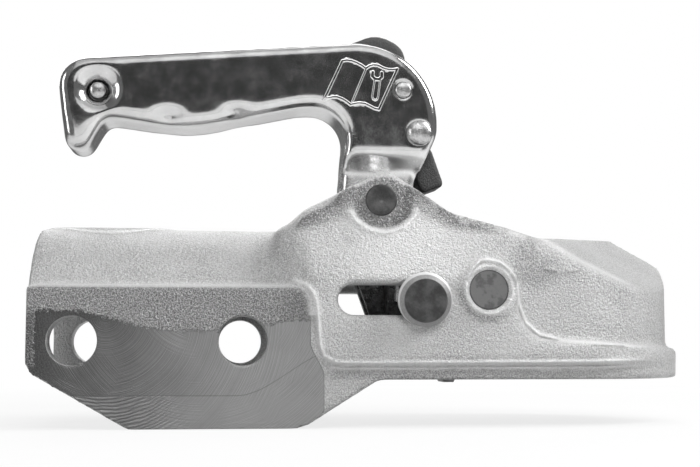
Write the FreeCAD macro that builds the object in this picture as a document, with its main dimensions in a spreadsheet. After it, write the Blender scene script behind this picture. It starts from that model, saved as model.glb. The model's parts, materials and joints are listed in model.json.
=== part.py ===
"""Trailer coupling head for a 50 mm ball: cast housing on a round drawbar, hand lever, lock and jaw.

Millimetres. +X points forward to the nose, +Z up, and the drawbar axis is the X axis. The origin lies
on that axis, midway between the two bolts that hold the head on the drawbar.
"""
import FreeCAD, Part
import math
import os

import Sketcher

# Driving dimensions, each a cell of the sheet with its own alias.
SIZES = [
    ("drawbar_radius", 30, "round drawbar that the saddle sits on"),
    ("saddle_wall", 10, "casting round the drawbar"),
    ("saddle_rear", 43, "rear face, behind the middle of the bolt pair"),
    ("bolt_spacing", 56, "between the two cross bolts"),
    ("bolt_hole_radius", 8.25, "clearance for a 16 mm bolt"),
    ("bolt_hole_chamfer", 0.6, ""),
    ("cheek_drop", 29, "lower edge of the cheeks below the axis"),
    ("cheek_rear_drop", 9.7, "where the rear face turns into the slanted edge"),
    ("cheek_rear_run", 33.4, "length of the slanted rear edge along X"),
    ("cheek_front", 48, "where the lower edge turns up again"),
    ("cheek_front_run", 25.6, "length of the slanted front edge along X"),
    ("pad_top", 18.6, "upper edge of the flat side pads"),
    ("pad_front", 49.3, "front edge of the pads above the axis"),
    ("pad_foot", 55.4, "front edge of the pads below the axis"),
    ("pad_foot_run", 1.5, "slant of the pads' front edge at its lower end"),
    ("pad_relief", 1, "web beside the pads, set back from their face"),
    ("gate_rise", 0.8, "rough lens left on top by the gate"),
    ("gate_length", 44.6, ""),
    ("gate_half_width", 13, ""),
    ("gate_middle", 18.6, "middle of the lens, behind the origin"),
    ("panel_half_width", 42, "raised side panels, from the middle plane"),
    ("panel_rear", 51, "rear ridge of the panels"),
    ("panel_top", 21.6, "where the wall starts to lean in"),
    ("panel_bottom", 7.2, "lower edge of the panels, below the axis"),
    ("panel_shoulder", 9.5, "upper edge of the panels behind the ridge"),
    ("panel_heel", 1.8, "slant of the rear ridge down to the axis"),
    ("panel_toe", 6.5, "slant of the rear ridge down to the lower edge"),
    ("panel_front", 121, "front edge of the panels at the pocket"),
    ("panel_round", 1.5, "rounded edge of the panels"),
    ("ear_set_back", 4, "outer face of the pivot ears, inside the panels' face"),
    ("ear_foot", 41, "height where the leaning wall meets the ears"),
    ("ear_wall", 11, "thickness of an ear"),
    ("ear_lead", 13, "start of the walls under the ears, behind the panels' ridge"),
    ("ear_fillet", 4, "run of the ears' rear edge along the saddle"),
    ("ear_rear", 47.3, "rear corner of the ears"),
    ("ear_rear_height", 44.3, ""),
    ("ear_peak_x", 76.7, "corner of the two slopes over the pivot"),
    ("ear_peak_z", 58.7, ""),
    ("ear_peak_round", 8, ""),
    ("ear_front", 101.5, "where the ears run into the roof"),
    ("ear_front_height", 41.8, ""),
    ("spot_radius", 11.2, "spot face round the pivot"),
    ("spot_depth", 0.6, ""),
    ("chamber_rear", 50, "stop for the drawbar, rear end of the chamber"),
    ("chamber_half_width", 31, ""),
    ("chamber_ceiling", 30.5, ""),
    ("chamber_front", 119, ""),
    ("opening_rear", 54.2, "rear edge of the opening between the ears"),
    ("opening_front", 106.5, "front edge of the opening between the ears"),
    ("roof_height", 37.7, "roof over the ball, at the middle plane"),
    ("roof_rear_height", 45.4, "roof where it meets the ears"),
    ("roof_bend", 130, "where the sloping roof turns level"),
    ("roof_crown", 0.06, "fall of the roof towards the sides"),
    ("facet_forward", 0.55, "fall of the nose facets along X"),
    ("facet_aside", 0.62, "fall of the nose facets along Y"),
    ("facet_reach", 129, "height of the facets' plane over the origin"),
    ("lean_start", 26, "height where the cup wall starts to lean in"),
    ("lean_slope", 0.35, ""),
    ("ball_radius", 25, "coupling ball"),
    ("ball_clearance", 0.25, "between ball and socket"),
    ("ball_forward", 149, "ball centre in front of the origin"),
    ("cup_radius", 37.5, "outer wall of the cup"),
    ("cup_lead", 8, "start of the cup, behind the front end of the ears"),
    ("cup_middle", 146.7, "axis of that wall"),
    ("rim_radius", 39, "rim round the mouth"),
    ("rim_middle", 148.8, "axis of the rim"),
    ("rim_drop", 13, "lower edge of the rim below the axis"),
    ("mouth_chamfer", 2, ""),
    ("band_fall", 3, "band's upper edge at the nose tip, below the axis"),
    ("boss_radius", 10.3, "boss round the jaw pin"),
    ("boss_rise", 0.5, ""),
    ("boss_lip", 1.2, "sunk ring between the boss and the jaw pin"),
    ("lever_pivot_x", 74.6, "lever pivot"),
    ("lever_pivot_z", 47.8, ""),
    ("pivot_pin_radius", 5.4, ""),
    ("pivot_pin_dish", 0.5, "hollow in the pin's end"),
    ("pin_rim", 1.5, "flat rim round that hollow"),
    ("pin_chamfer", 0.4, ""),
    ("pin_proud", 0.3, "how far a pin stands out of its seat"),
    ("bush_wall", 2, "bush that the lever turns on"),
    ("running_gap", 0.1, "radial gap of a part that turns or slides on its pin"),
    ("side_gap", 0.3, "gap beside a part that moves"),
    ("fit_gap", 0.03, "gap round a part that is pressed in or riveted"),
    ("slide_pin_x", 88.5, "sliding pin, lever down"),
    ("slide_pin_z", 13.8, ""),
    ("slide_pin_radius", 4.9, ""),
    ("slide_head_radius", 9.2, ""),
    ("slide_head_face_radius", 6.9, ""),
    ("slide_head_height", 3.6, ""),
    ("slide_head_bevel", 1.6, ""),
    ("slide_travel", 23.5, "way of the sliding pin to the rear"),
    ("slot_gap", 0.2, "above and below the sliding pin in its slot"),
    ("washer_thickness", 1.6, ""),
    ("ring_thickness", 1.2, ""),
    ("ring_reach", 2.4, "how far the ring stands out round the pin"),
    ("slide_end_chamfer", 0.6, ""),
    ("ring_groove_depth", 0.8, ""),
    ("jaw_pin_x", 110.6, ""),
    ("jaw_pin_z", 17.2, ""),
    ("jaw_pin_radius", 6.75, ""),
    ("jaw_hub_radius", 11, ""),
    ("jaw_half_width", 23.4, ""),
    ("jaw_back", 99.8, "rear face of the jaw"),
    ("jaw_lip_drop", 12, "lower edge of the jaw"),
    ("jaw_tongue_drop", 14.7, "tongue in the middle of the jaw's lower edge"),
    ("jaw_tongue_length", 5, ""),
    ("jaw_tongue_slope", 1.4, "slant of its two ends"),
    ("jaw_tongue_half_width", 6, ""),
    ("jaw_lip_top", 6, ""),
    ("jaw_lip_front", 127.6, "front end of the jaw's lips"),
    ("jaw_ball_gap", 0.3, ""),
    ("jaw_way_gap", 1.4, "in front of the jaw's lips"),
    ("sheet", 2, "sheet steel of the lever"),
    ("grip_half_width", 13.5, ""),
    ("neck_half_width", 10, "lever between the ears"),
    ("joggle_top", 68.2, "where the lever starts to narrow"),
    ("joggle_bottom", 61.4, "where the narrow part begins"),
    ("lever_edge_round", 3.2, ""),
    ("grip_rear_bottom_x", 34.8, "lever outline, rear tip, behind the origin"),
    ("grip_rear_top_x", 38.7, ""),
    ("grip_bottom_z", 67.8, ""),
    ("grip_rear_top_z", 100.1, ""),
    ("lever_front_x", 98.9, ""),
    ("lever_top_z", 110.9, ""),
    ("lever_top_round", 29, ""),
    ("lever_nose_z", 75, "corner where the front edge turns back"),
    ("lever_waist_x", 91.6, ""),
    ("lever_waist_z", 59.5, ""),
    ("lever_skirt_z", 54.5, "below this height the neck is two side plates"),
    ("lever_foot_radius", 14, "round foot of the lever about the pivot"),
    ("lever_rear_x", 63.6, "rear edge of the neck at the ears"),
    ("lever_throat_x", 66.4, "inner corner between grip and neck"),
    ("lever_throat_z", 85.4, ""),
    ("grip_crest_x", 48, ""),
    ("grip_crest_z", 84.3, ""),
    ("grip_belly_x", 8, ""),
    ("grip_belly_z", 75.8, ""),
    ("hook_x", 21, "finger stop at the rear tip, behind the origin"),
    ("hook_z", 79.6, ""),
    ("hook_tip_x", 27.4, ""),
    ("dish_x", 23.8, "dish in the rear end, behind the origin"),
    ("dish_z", 89.3, ""),
    ("dish_radius", 8.4, ""),
    ("dish_floor_radius", 5.3, ""),
    ("dish_depth", 2.2, ""),
    ("end_hole_radius", 3.5, ""),
    ("end_rivet_radius", 2.9, ""),
    ("end_rivet_crown", 1.2, "height of its domed end"),
    ("end_spacer_wall", 2.9, ""),
    ("fork_thickness", 3.6, "each cam plate of the fork"),
    ("fork_hub_radius", 13.5, ""),
    ("fork_end_radius", 12.5, ""),
    ("fork_end_offset", 2.7, "middle of the fork's end, behind the sliding pin"),
    ("fork_slot_gap", 0.6, "beside the sliding pin in the cam slot"),
    ("fork_top_z", 72, ""),
    ("fork_rear", 67.8, "outer face of the web that joins the plates"),
    ("fork_front", 83.6, "front edge of the plates inside the lever"),
    ("fork_corner", 4, ""),
    ("fork_web_bottom", 56.3, ""),
    ("wedge_rear", 79, ""),
    ("wedge_half_width", 19.5, ""),
    ("wedge_half_height", 9.5, ""),
    ("wedge_bevel", 3, ""),
    ("spring_wire_radius", 1.3, ""),
    ("spring_coil_radius", 8.6, "mean radius of the coils"),
    ("catch_pivot_x", 91.6, ""),
    ("catch_pivot_z", 75.2, ""),
    ("catch_half_width", 7.4, ""),
    ("catch_gap", 0.5, "beside the catch in the lever's slot"),
    ("catch_slot_rear", 62, "slot of the catch in the lever's top"),
    ("catch_slot_front", 93.2, ""),
    ("catch_slot_floor", 91.2, ""),
    ("tail_slot_rear", 87.6, "slot of the catch's tail in the lever's front edge"),
    ("tail_slot_top", 77.2, ""),
    ("catch_swing", 6, "degrees that the catch moves when it is pressed"),
    ("catch_hump_x", 79.4, "highest point of the thumb hump"),
    ("catch_hump_z", 113.8, ""),
    ("catch_rear_x", 68.4, ""),
    ("catch_tail_x", 101.7, "tip of the tail"),
    ("catch_tail_z", 57, ""),
    ("catch_tail_rear_x", 93.6, ""),
    ("catch_tail_rear_z", 54, ""),
    ("catch_rivet_radius", 3, ""),
    ("catch_rivet_head_radius", 4.7, ""),
    ("catch_rivet_head_height", 2.4, ""),
    ("stop_rivet_x", 85.8, ""),
    ("stop_rivet_z", 91, ""),
    ("stop_rivet_radius", 2.2, ""),
    ("stop_rivet_head_radius", 2.9, ""),
    ("stop_rivet_head_height", 1, ""),
]

# Rounds of the outlines: for each radius, the numbers of the corners that get it.
CHEEK_ROUNDS = {7: [1], 4: [2, 4], 14: [3], 1.5: [0]}
PAD_ROUNDS = {6.5: [5], 3: [3, 4]}
PANEL_ROUNDS = {8: [1], 5: [2], 3: [3], 12: [6]}
EAR_ROUNDS = {4: [2], 3: [3], 6: [5]}
EAR_SECTION_ROUNDS = {20: [3, 6], 12: [2, 7]}
EAR_PLAN_ROUNDS = {9: [1, 4]}
LEVER_ROUNDS = {10: [0], 8: [2], 5: [3], 12: [5, 6, 8], 20: [9], 60: [10], 4: [11], 3.5: [12, 13]}
WEDGE_ROUNDS = {2.5: [0, 4]}
JAW_ROUNDS = {1.5: [2, 3]}
CATCH_ROUNDS = {14: [2], 9: [3], 1: [8, 9], 4: [10, 11]}

OVERCUT = 5  # how far a cutting tool runs past the solid
OVERLAP = 1  # how far two solids that are joined run into each other
DEEP = 60  # taller than anything that is cut from a full-height block
CORNER_MATCH = 0.01  # how near an edge lies to the corner it belongs to
DOME_STEPS = 6  # facets of a domed rivet head, from rim to crown
STOP_SLOT_STEPS = 4  # bores that make up the curved slot of the stop rivet
SPRING_COILS = 3
COIL_STEPS = 16  # straight pieces in one turn of a spring
WIRE_SIDES = 8

document = FreeCAD.newDocument("TrailerCouplingHead")
sheet = document.addObject("Spreadsheet::Sheet", "Sizes")
for row, (alias, number, note) in enumerate(SIZES, start=1):
    sheet.set("A%d" % row, note or alias.replace("_", " "))
    sheet.set("B%d" % row, str(number))
    sheet.setAlias("B%d" % row, alias)
document.recompute()


class Size:
    """A length with its value now and the sheet expression that it comes from."""

    def __init__(self, value, text):
        self.value = float(value)
        self.text = text

    def joined(self, other, sign, value):
        return Size(value, "(%s %s %s)" % (self.text, sign, text_of(other)))

    def __add__(self, other):
        return self.joined(other, "+", self.value + value_of(other))

    def __sub__(self, other):
        return self.joined(other, "-", self.value - value_of(other))

    def __mul__(self, other):
        return self.joined(other, "*", self.value * value_of(other))

    def __truediv__(self, other):
        return self.joined(other, "/", self.value / value_of(other))

    def __rsub__(self, other):
        return Size(float(other), repr(float(other))) - self

    def __neg__(self):
        return Size(-self.value, "(0 - %s)" % self.text)


def value_of(size):
    return size.value if isinstance(size, Size) else float(size)


def text_of(size):
    return size.text if isinstance(size, Size) else repr(float(size))


class Sheet:
    """Reads the cells: s.drawbar_radius is the size in that cell."""

    def __getattr__(self, alias):
        return Size(getattr(sheet, alias), "Sizes." + alias)


s = Sheet()


def bind(item, **sizes):
    """Binds properties to sizes. A trailing _x, _y or _z after place sets the placement's base."""
    for name, size in sizes.items():
        path = "Placement.Base." + name[-1] if name.startswith("place_") else name
        item.setExpression(path, text_of(size))
    return item


def box(name, x, y, z):
    """A block between the low and high value of each pair."""
    item = document.addObject("Part::Box", name)
    return bind(
        item,
        Length=x[1] - x[0], Width=y[1] - y[0], Height=z[1] - z[0],
        place_x=x[0], place_y=y[0], place_z=z[0],
    )


def cylinder(name, radius, height, turn, x, y, z):
    item = document.addObject("Part::Cylinder", name)
    item.Placement.Rotation = turn
    return bind(item, Radius=radius, Height=height, place_x=x, place_y=y, place_z=z)


ALONG_X = FreeCAD.Rotation(FreeCAD.Vector(0, 1, 0), 90)
ALONG_Y = FreeCAD.Rotation(FreeCAD.Vector(1, 0, 0), -90)
ALONG_Z = FreeCAD.Rotation()


def across(name, radius, x, z, near, far):
    """A cylinder across the head, from Y = near to Y = far."""
    return cylinder(name, radius, far - near, ALONG_Y, x, near, z)


def upright(name, radius, x, y, low, high):
    return cylinder(name, radius, high - low, ALONG_Z, x, y, low)


def sphere(name, radius, x, z):
    return bind(document.addObject("Part::Sphere", name), Radius=radius, place_x=x, place_z=z)


def outline(item, corners):
    """Draws a closed outline in a sketch, with each corner held by two bound distances."""
    count = len(corners)
    points = [FreeCAD.Vector(value_of(a), value_of(b), 0) for a, b in corners]
    for index in range(count):
        item.addGeometry(Part.LineSegment(points[index], points[(index + 1) % count]))
    for index in range(count):
        item.addConstraint(Sketcher.Constraint("Coincident", index, 2, (index + 1) % count, 1))
    for index, corner in enumerate(corners):
        for kind, size in zip(("DistanceX", "DistanceY"), corner):
            if value_of(size) == 0:
                axis = -2 if kind == "DistanceX" else -1
                item.addConstraint(Sketcher.Constraint("PointOnObject", index, 1, axis))
                continue
            made = Sketcher.Constraint(kind, -1, 1, index, 1, value_of(size))
            number = item.addConstraint(made)
            item.setExpression("Constraints[%d]" % number, text_of(size))
    return item


PLANES = {
    "side": FreeCAD.Rotation(FreeCAD.Vector(1, 0, 0), 90),
    "plan": FreeCAD.Rotation(),
    "front": FreeCAD.Rotation(FreeCAD.Vector(1, 1, 1), 120),
}


def prism(name, plane, corners, depth, start=0, rounds=None):
    """An outline in one plane, pulled along its normal. Side prisms lie evenly about Y = 0."""
    sketch = document.addObject("Sketcher::SketchObject", name + "_sketch")
    sketch.Placement.Rotation = PLANES[plane]
    outline(sketch, corners)
    if plane != "side":
        bind(sketch, **{"place_z" if plane == "plan" else "place_x": start})
    item = document.addObject("Part::Extrusion", name)
    item.Base = sketch
    item.DirMode = "Normal"
    item.Solid = True
    item.Symmetric = plane == "side"
    bind(item, LengthFwd=depth)
    document.recompute()
    for radius, numbers in (rounds or {}).items():
        item = round_corners(name, item, plane, [corners[n] for n in numbers], radius)
    return item


def round_corners(name, item, plane, corners, radius):
    """Rounds the edges that run along a prism at the given corners of its outline."""
    places = [(value_of(a), value_of(b)) for a, b in corners]
    first, second = {"side": ("x", "z"), "plan": ("x", "y"), "front": ("y", "z")}[plane]

    def at_corner(edge):
        ends = [(getattr(v.Point, first), getattr(v.Point, second)) for v in edge.Vertexes]
        return len(ends) == 2 and any(
            all(math.dist(end, place) < CORNER_MATCH for end in ends) for place in places
        )

    return rounded(name + "_rounded", item, radius, at_corner)


def rounded(name, item, radius, chosen):
    """Rounds the edges of an item that the test picks."""
    edges = [
        (number, radius, radius)
        for number, edge in enumerate(item.Shape.Edges, start=1)
        if chosen(edge)
    ]
    made = document.addObject("Part::Fillet", name)
    made.Base = item
    made.Edges = edges
    document.recompute()
    return made


def fuse(name, *items):
    made = document.addObject("Part::MultiFuse", name)
    made.Shapes = list(items)
    return made


def common(name, *items):
    made = document.addObject("Part::MultiCommon", name)
    made.Shapes = list(items)
    return made


def cut(name, base, *tools):
    made = document.addObject("Part::Cut", name)
    made.Base = base
    made.Tool = tools[0] if len(tools) == 1 else fuse(name + "_tools", *tools)
    return made


def above_plane(name, point, normal):
    """A block whose lower face lies in the given plane, used to cut off what is above it."""
    reach = 400
    item = document.addObject("Part::Box", name)
    item.Length = item.Width = item.Height = reach
    turn = FreeCAD.Rotation(FreeCAD.Vector(0, 0, 1), FreeCAD.Vector(*normal))
    corner = turn.multVec(FreeCAD.Vector(-reach / 2, -reach / 2, 0))
    item.Placement = FreeCAD.Placement(FreeCAD.Vector(*point) + corner, turn)
    return item


def both_sides(name, point, normal):
    """The block of above_plane, once for the near side and once for the far side."""
    x, y, z = point
    a, b, c = normal
    near = above_plane(name + "_near", (x, -y, z), (a, -b, c))
    far = above_plane(name + "_far", (x, y, z), (a, b, c))
    return [near, far]


def turned(name, profile, x, z):
    """A turned piece whose axis runs along Y. The profile lists (radius, Y) corners."""
    body = document.addObject("PartDesign::Body", name)
    sketch = body.newObject("Sketcher::SketchObject", name + "_profile")
    plane = [item for item in body.Origin.OriginFeatures if item.Role == "XY_Plane"][0]
    sketch.AttachmentSupport = [(plane, "")]
    sketch.MapMode = "FlatFace"
    outline(sketch, profile)
    turn = body.newObject("PartDesign::Revolution", name + "_turn")
    turn.Profile = sketch
    turn.ReferenceAxis = (sketch, ["V_Axis"])
    turn.Angle = 360
    return bind(body, place_x=x, place_z=z)


def ring(name, inner, outer, near, far, x, z):
    return turned(name, [(inner, near), (outer, near), (outer, far), (inner, far)], x, z)


def dome(radius, height, base, sign):
    """Corners of a domed rivet head, from its rim at Y = base to its crown on the axis."""
    corners = []
    for step in range(DOME_STEPS + 1):
        angle = math.pi / 2 * step / DOME_STEPS
        corners.append((radius * math.cos(angle), base + height * (sign * math.sin(angle))))
    corners[-1] = (0, corners[-1][1])
    return corners


saddle_radius = s.drawbar_radius + s.saddle_wall
web_half_width = saddle_radius - s.pad_relief
ear_face = s.panel_half_width - s.ear_set_back
ear_inner = ear_face - s.ear_wall


def housing_saddle():
    """Half tube on the drawbar, its two cheeks with flat pads, and the gate's lens on top."""
    upper = box("saddle_upper", (-s.saddle_rear, s.panel_rear), (-saddle_radius, saddle_radius),
                (0, saddle_radius))
    tube = cylinder("saddle_tube", saddle_radius, s.saddle_rear + s.panel_rear, ALONG_X,
                    -s.saddle_rear, 0, 0)
    foot_x = s.cheek_rear_run - s.saddle_rear
    rise_x = s.cheek_front + s.cheek_front_run
    lower_corners = [
        (-s.saddle_rear, s.pad_top),
        (-s.saddle_rear, -s.cheek_rear_drop),
        (foot_x, -s.cheek_drop),
        (s.cheek_front, -s.cheek_drop),
        (rise_x, -s.rim_drop),
        (s.chamber_front, -s.rim_drop),
        (s.chamber_front, s.pad_top),
    ]
    web = prism("web", "side", lower_corners, web_half_width * 2, rounds=CHEEK_ROUNDS)
    below = -s.cheek_drop * 2
    pad_corners = [
        (-s.saddle_rear, s.pad_top),
        (-s.saddle_rear, below),
        (s.pad_foot - s.pad_foot_run, below),
        (s.pad_foot, -s.cheek_rear_drop),
        (s.pad_front, s.bolt_hole_radius),
        (s.pad_front, s.pad_top),
    ]
    pad_face = prism("pad_face", "side", pad_corners, saddle_radius * 2, rounds=PAD_ROUNDS)
    pad_silhouette = prism("pad_silhouette", "side", lower_corners, saddle_radius * 2,
                           rounds=CHEEK_ROUNDS)
    pads = common("pads", pad_face, pad_silhouette)
    half_length = s.gate_length / 2
    lens_radius = (half_length * half_length + s.gate_half_width * s.gate_half_width) / (
        s.gate_half_width * 2)
    lens_offset = lens_radius - s.gate_half_width
    lens = common(
        "gate_lens",
        cylinder("gate_tube", saddle_radius + s.gate_rise, s.saddle_rear + s.panel_rear, ALONG_X,
                 -s.saddle_rear, 0, 0),
        upright("gate_near", lens_radius, -s.gate_middle, lens_offset, s.drawbar_radius, DEEP),
        upright("gate_far", lens_radius, -s.gate_middle, -lens_offset, s.drawbar_radius, DEEP),
    )
    return [common("saddle_arch", upper, tube), web, pads, lens]


def nose_plan(name, half_width, middle, rear, low, high):
    """A block with a round nose in plan."""
    return fuse(
        name,
        box(name + "_straight", (rear, middle), (-half_width, half_width), (low, high)),
        upright(name + "_round", half_width, middle, 0, low, high),
    )


def housing_panels():
    """Raised side panels that run on as a band round the nose, and the bosses of the jaw pin."""
    nose = s.rim_middle + s.rim_radius
    corners = [
        (s.panel_rear - s.panel_shoulder, s.panel_top),
        (s.panel_rear, s.panel_top),
        (s.panel_rear + s.panel_heel, -s.band_fall + OVERLAP),
        (s.panel_rear + s.panel_toe, -s.panel_bottom),
        (nose + OVERCUT, -s.panel_bottom),
        (nose + OVERCUT, -s.band_fall),
        (s.panel_front, s.bolt_hole_chamfer),
        (s.panel_front, s.jaw_pin_z),
        (s.jaw_pin_x, s.panel_top),
    ]
    face = prism("panel_face", "side", corners, s.panel_half_width * 2,
                 rounds=PANEL_ROUNDS)
    edge = value_of(s.panel_half_width) - CORNER_MATCH

    def on_face(item):
        return all(abs(v.Y) > edge for v in item.Vertexes)

    soft_face = rounded("panel_soft", face, value_of(s.panel_round), on_face)
    plan_middle = nose - s.panel_half_width
    plan = nose_plan("band_plan", s.panel_half_width, plan_middle, s.drawbar_radius, -DEEP, DEEP)
    boss_face = s.panel_half_width + s.boss_rise
    boss = across("jaw_boss", s.boss_radius, s.jaw_pin_x, s.jaw_pin_z, -boss_face, boss_face)
    return [common("panels", soft_face, plan), boss]


def housing_ears():
    """Leaning walls above the panels that end in the two ears of the lever pivot."""
    start = s.panel_rear - s.ear_lead
    sunk = saddle_radius - OVERLAP
    side_corners = [
        (start, s.bolt_hole_radius),
        (start, sunk),
        (s.ear_rear - s.ear_fillet, sunk),
        (s.ear_rear, s.ear_rear_height),
        (s.ear_peak_x, s.ear_peak_z),
        (s.ear_front, s.ear_front_height),
        (s.opening_front, s.ear_front_height - OVERLAP),
        (s.opening_front, s.bolt_hole_radius),
    ]
    rounds = dict(EAR_ROUNDS)
    rounds[value_of(s.ear_peak_round)] = [4]
    side = prism("ear_side", "side", side_corners, s.panel_half_width * 2, rounds=rounds)
    high = s.ear_peak_z + OVERCUT
    section_corners = [
        (-s.panel_half_width, s.bolt_hole_radius),
        (s.panel_half_width, s.bolt_hole_radius),
        (s.panel_half_width, s.panel_top),
        (ear_face, s.ear_foot),
        (ear_face, high),
        (-ear_face, high),
        (-ear_face, s.ear_foot),
        (-s.panel_half_width, s.panel_top),
    ]
    section = prism("ear_section", "front", section_corners, s.roof_bend, start=s.drawbar_radius,
                    rounds=EAR_SECTION_ROUNDS)
    narrow = saddle_radius - s.saddle_wall * 0.7
    plan_corners = [
        (start, -narrow),
        (s.panel_rear - OVERLAP, -s.panel_half_width),
        (s.opening_front + OVERCUT, -s.panel_half_width),
        (s.opening_front + OVERCUT, s.panel_half_width),
        (s.panel_rear - OVERLAP, s.panel_half_width),
        (start, narrow),
    ]
    plan = prism("ear_plan", "plan", plan_corners, DEEP * 2, start=-DEEP, rounds=EAR_PLAN_ROUNDS)
    return [common("ears", side, section, plan)]


def housing_cup():
    """Cup over the ball with its roof, the two facets of the nose, and the rim of the mouth."""
    start = s.ear_front - s.cup_lead
    taper_end = s.roof_bend - OVERLAP * 2
    taper_half = s.cup_radius - OVERLAP
    cup = nose_plan("cup_wall", s.cup_radius, s.cup_middle, start, -s.panel_bottom, DEEP)
    taper_corners = [
        (start, -s.panel_half_width),
        (s.ear_front, -s.panel_half_width),
        (taper_end, -taper_half),
        (taper_end, taper_half),
        (s.ear_front, s.panel_half_width),
        (start, s.panel_half_width),
    ]
    taper = prism("roof_taper", "plan", taper_corners, DEEP - s.jaw_pin_z, start=s.jaw_pin_z)
    block = fuse("cup_block", cup, taper)
    roof = value_of(s.roof_height)
    bend = value_of(s.roof_bend)
    crown = value_of(s.roof_crown)
    rear_slope = (value_of(s.roof_rear_height) - roof) / (bend - value_of(s.ear_front))
    forward = value_of(s.facet_forward)
    aside = value_of(s.facet_aside)
    lean = value_of(s.lean_slope)
    over_ball = value_of(s.ball_forward)
    facet_height = value_of(s.facet_reach) - forward * over_ball
    tools = (
        both_sides("roof_level", (bend, 0, roof), (0, crown, 1))
        + both_sides("facet", (over_ball, 0, facet_height), (forward, aside, 1))
    )
    wall = both_sides("lean", (0, value_of(s.cup_radius), value_of(s.lean_start)), (0, 1, lean))
    # Behind the bend the roof rises towards the ears, so only what is above both planes goes.
    rear_tools = both_sides("roof_rise", (bend, 0, roof), (rear_slope, crown, 1))
    level_tools = [
        common("roof_cut_%d" % number, level, rise)
        for number, (level, rise) in enumerate(zip(tools[:2], rear_tools))
    ]
    shaped = cut("cup_shaped", block, *(level_tools + tools[2:]))
    leaning = both_sides(
        "wall_lean",
        (0, value_of(s.panel_half_width), value_of(s.panel_top)),
        (0, value_of(s.ear_foot) - value_of(s.panel_top),
         value_of(s.ear_set_back)),
    )
    lean_zone = box("lean_zone", (taper_end, s.rim_middle + s.rim_radius),
                    (-s.panel_half_width, s.panel_half_width), (-s.cheek_drop, s.cheek_drop * 3))
    wall_cut = [common("lean_cut_%d" % number, item, lean_zone) for number, item in enumerate(wall)]
    cup_done = cut("cup_body", shaped, *(leaning + wall_cut))
    rim = nose_plan("rim", s.rim_radius, s.rim_middle, s.pad_foot, -s.rim_drop, -s.band_fall)
    return [cup_done, rim]


def housing_hollows():
    """What is cut out of the casting: drawbar seat, lock chamber, ball socket, slots and holes."""
    low = -s.cheek_drop - OVERCUT
    high = s.ear_peak_z + OVERCUT
    seat_start = -s.saddle_rear - OVERCUT
    seat = cylinder("seat_round", s.drawbar_radius, s.chamber_rear - seat_start, ALONG_X,
                    seat_start, 0, 0)
    seat_mouth = box("seat_mouth", (seat_start, s.chamber_rear),
                     (-s.drawbar_radius, s.drawbar_radius), (low, 0))
    chamber_length = (s.chamber_rear - OVERLAP, s.chamber_front)
    chamber = box("chamber", chamber_length, (-s.chamber_half_width, s.chamber_half_width),
                  (low, s.panel_top))
    attic = box("attic", chamber_length, (-ear_inner, ear_inner), (0, s.chamber_ceiling))
    opening = box("ear_opening", (s.opening_rear, s.opening_front), (-ear_inner, ear_inner),
                  (s.pad_top, high))
    saddle_gap = box("ear_gap", (s.drawbar_radius, s.opening_rear + OVERLAP),
                     (-ear_inner, ear_inner), (saddle_radius + s.gate_rise, high))
    socket_radius = s.ball_radius + s.ball_clearance
    socket = sphere("socket_ball", socket_radius, s.ball_forward, 0)
    mouth = upright("socket_mouth", socket_radius, s.ball_forward, 0, low, 0)
    chamfer = document.addObject("Part::Cone", "mouth_chamfer")
    bind(chamfer, Radius1=socket_radius + s.mouth_chamfer * 2, Radius2=socket_radius,
         Height=s.mouth_chamfer * 2, place_x=s.ball_forward, place_z=-s.rim_drop - s.mouth_chamfer)
    jaw_way = box("jaw_way", (s.chamber_front - OVERLAP, s.jaw_lip_front + s.jaw_way_gap),
                  (-s.jaw_half_width - s.side_gap, s.jaw_half_width + s.side_gap),
                  (low, s.jaw_pin_z - OVERLAP * 2))
    hollows = [seat, seat_mouth, chamber, attic, opening, saddle_gap, socket, mouth, chamfer, jaw_way]
    out = s.panel_half_width + OVERCUT
    slot_radius = s.slide_pin_radius + s.slot_gap
    slot_rear = s.slide_pin_x - s.slide_travel - s.slot_gap * 2
    slot_front = s.slide_pin_x + s.slot_gap
    hollows += [
        across("slot_rear", slot_radius, slot_rear, s.slide_pin_z, -out, out),
        across("slot_front", slot_radius, slot_front, s.slide_pin_z, -out, out),
        box("slot_middle", (slot_rear, slot_front), (-out, out),
            (s.slide_pin_z - slot_radius, s.slide_pin_z + slot_radius)),
        across("pivot_hole", s.pivot_pin_radius + s.fit_gap, s.lever_pivot_x, s.lever_pivot_z, -out, out),
        across("jaw_hole", s.jaw_pin_radius, s.jaw_pin_x, s.jaw_pin_z, -out, out),
        across("jaw_hub_way", s.jaw_hub_radius + s.side_gap * 2, s.jaw_pin_x, s.jaw_pin_z,
               -s.chamber_half_width, s.chamber_half_width),
    ]
    for side, name in ((-1, "rear"), (1, "front")):
        x = s.bolt_spacing * (side / 2)
        hollows.append(across("bolt_hole_" + name, s.bolt_hole_radius, x, 0, -out, out))
        for sign, face in ((-1, "near"), (1, "far")):
            cone = document.addObject("Part::Cone", "bolt_chamfer_%s_%s" % (name, face))
            cone.Placement.Rotation = FreeCAD.Rotation(FreeCAD.Vector(1, 0, 0), -90 * sign)
            depth = s.bolt_hole_chamfer
            bind(cone, Radius1=s.bolt_hole_radius, Radius2=s.bolt_hole_radius + depth * 2,
                 Height=depth * 2, place_x=x, place_y=(saddle_radius - depth) * sign)
            hollows.append(cone)
    spot_face = ear_face - s.spot_depth
    for sign, face in ((-1, "near"), (1, "far")):
        inner = spot_face if sign > 0 else -out
        outer = out if sign > 0 else -spot_face
        hollows.append(across("spot_" + face, s.spot_radius, s.lever_pivot_x, s.lever_pivot_z,
                              inner, outer))
        ring_inner = s.panel_half_width if sign > 0 else -out
        ring_outer = out if sign > 0 else -s.panel_half_width
        hollows.append(across("boss_dish_" + face, s.jaw_pin_radius + s.boss_lip, s.jaw_pin_x,
                              s.jaw_pin_z, ring_inner, ring_outer))
    return hollows


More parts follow.
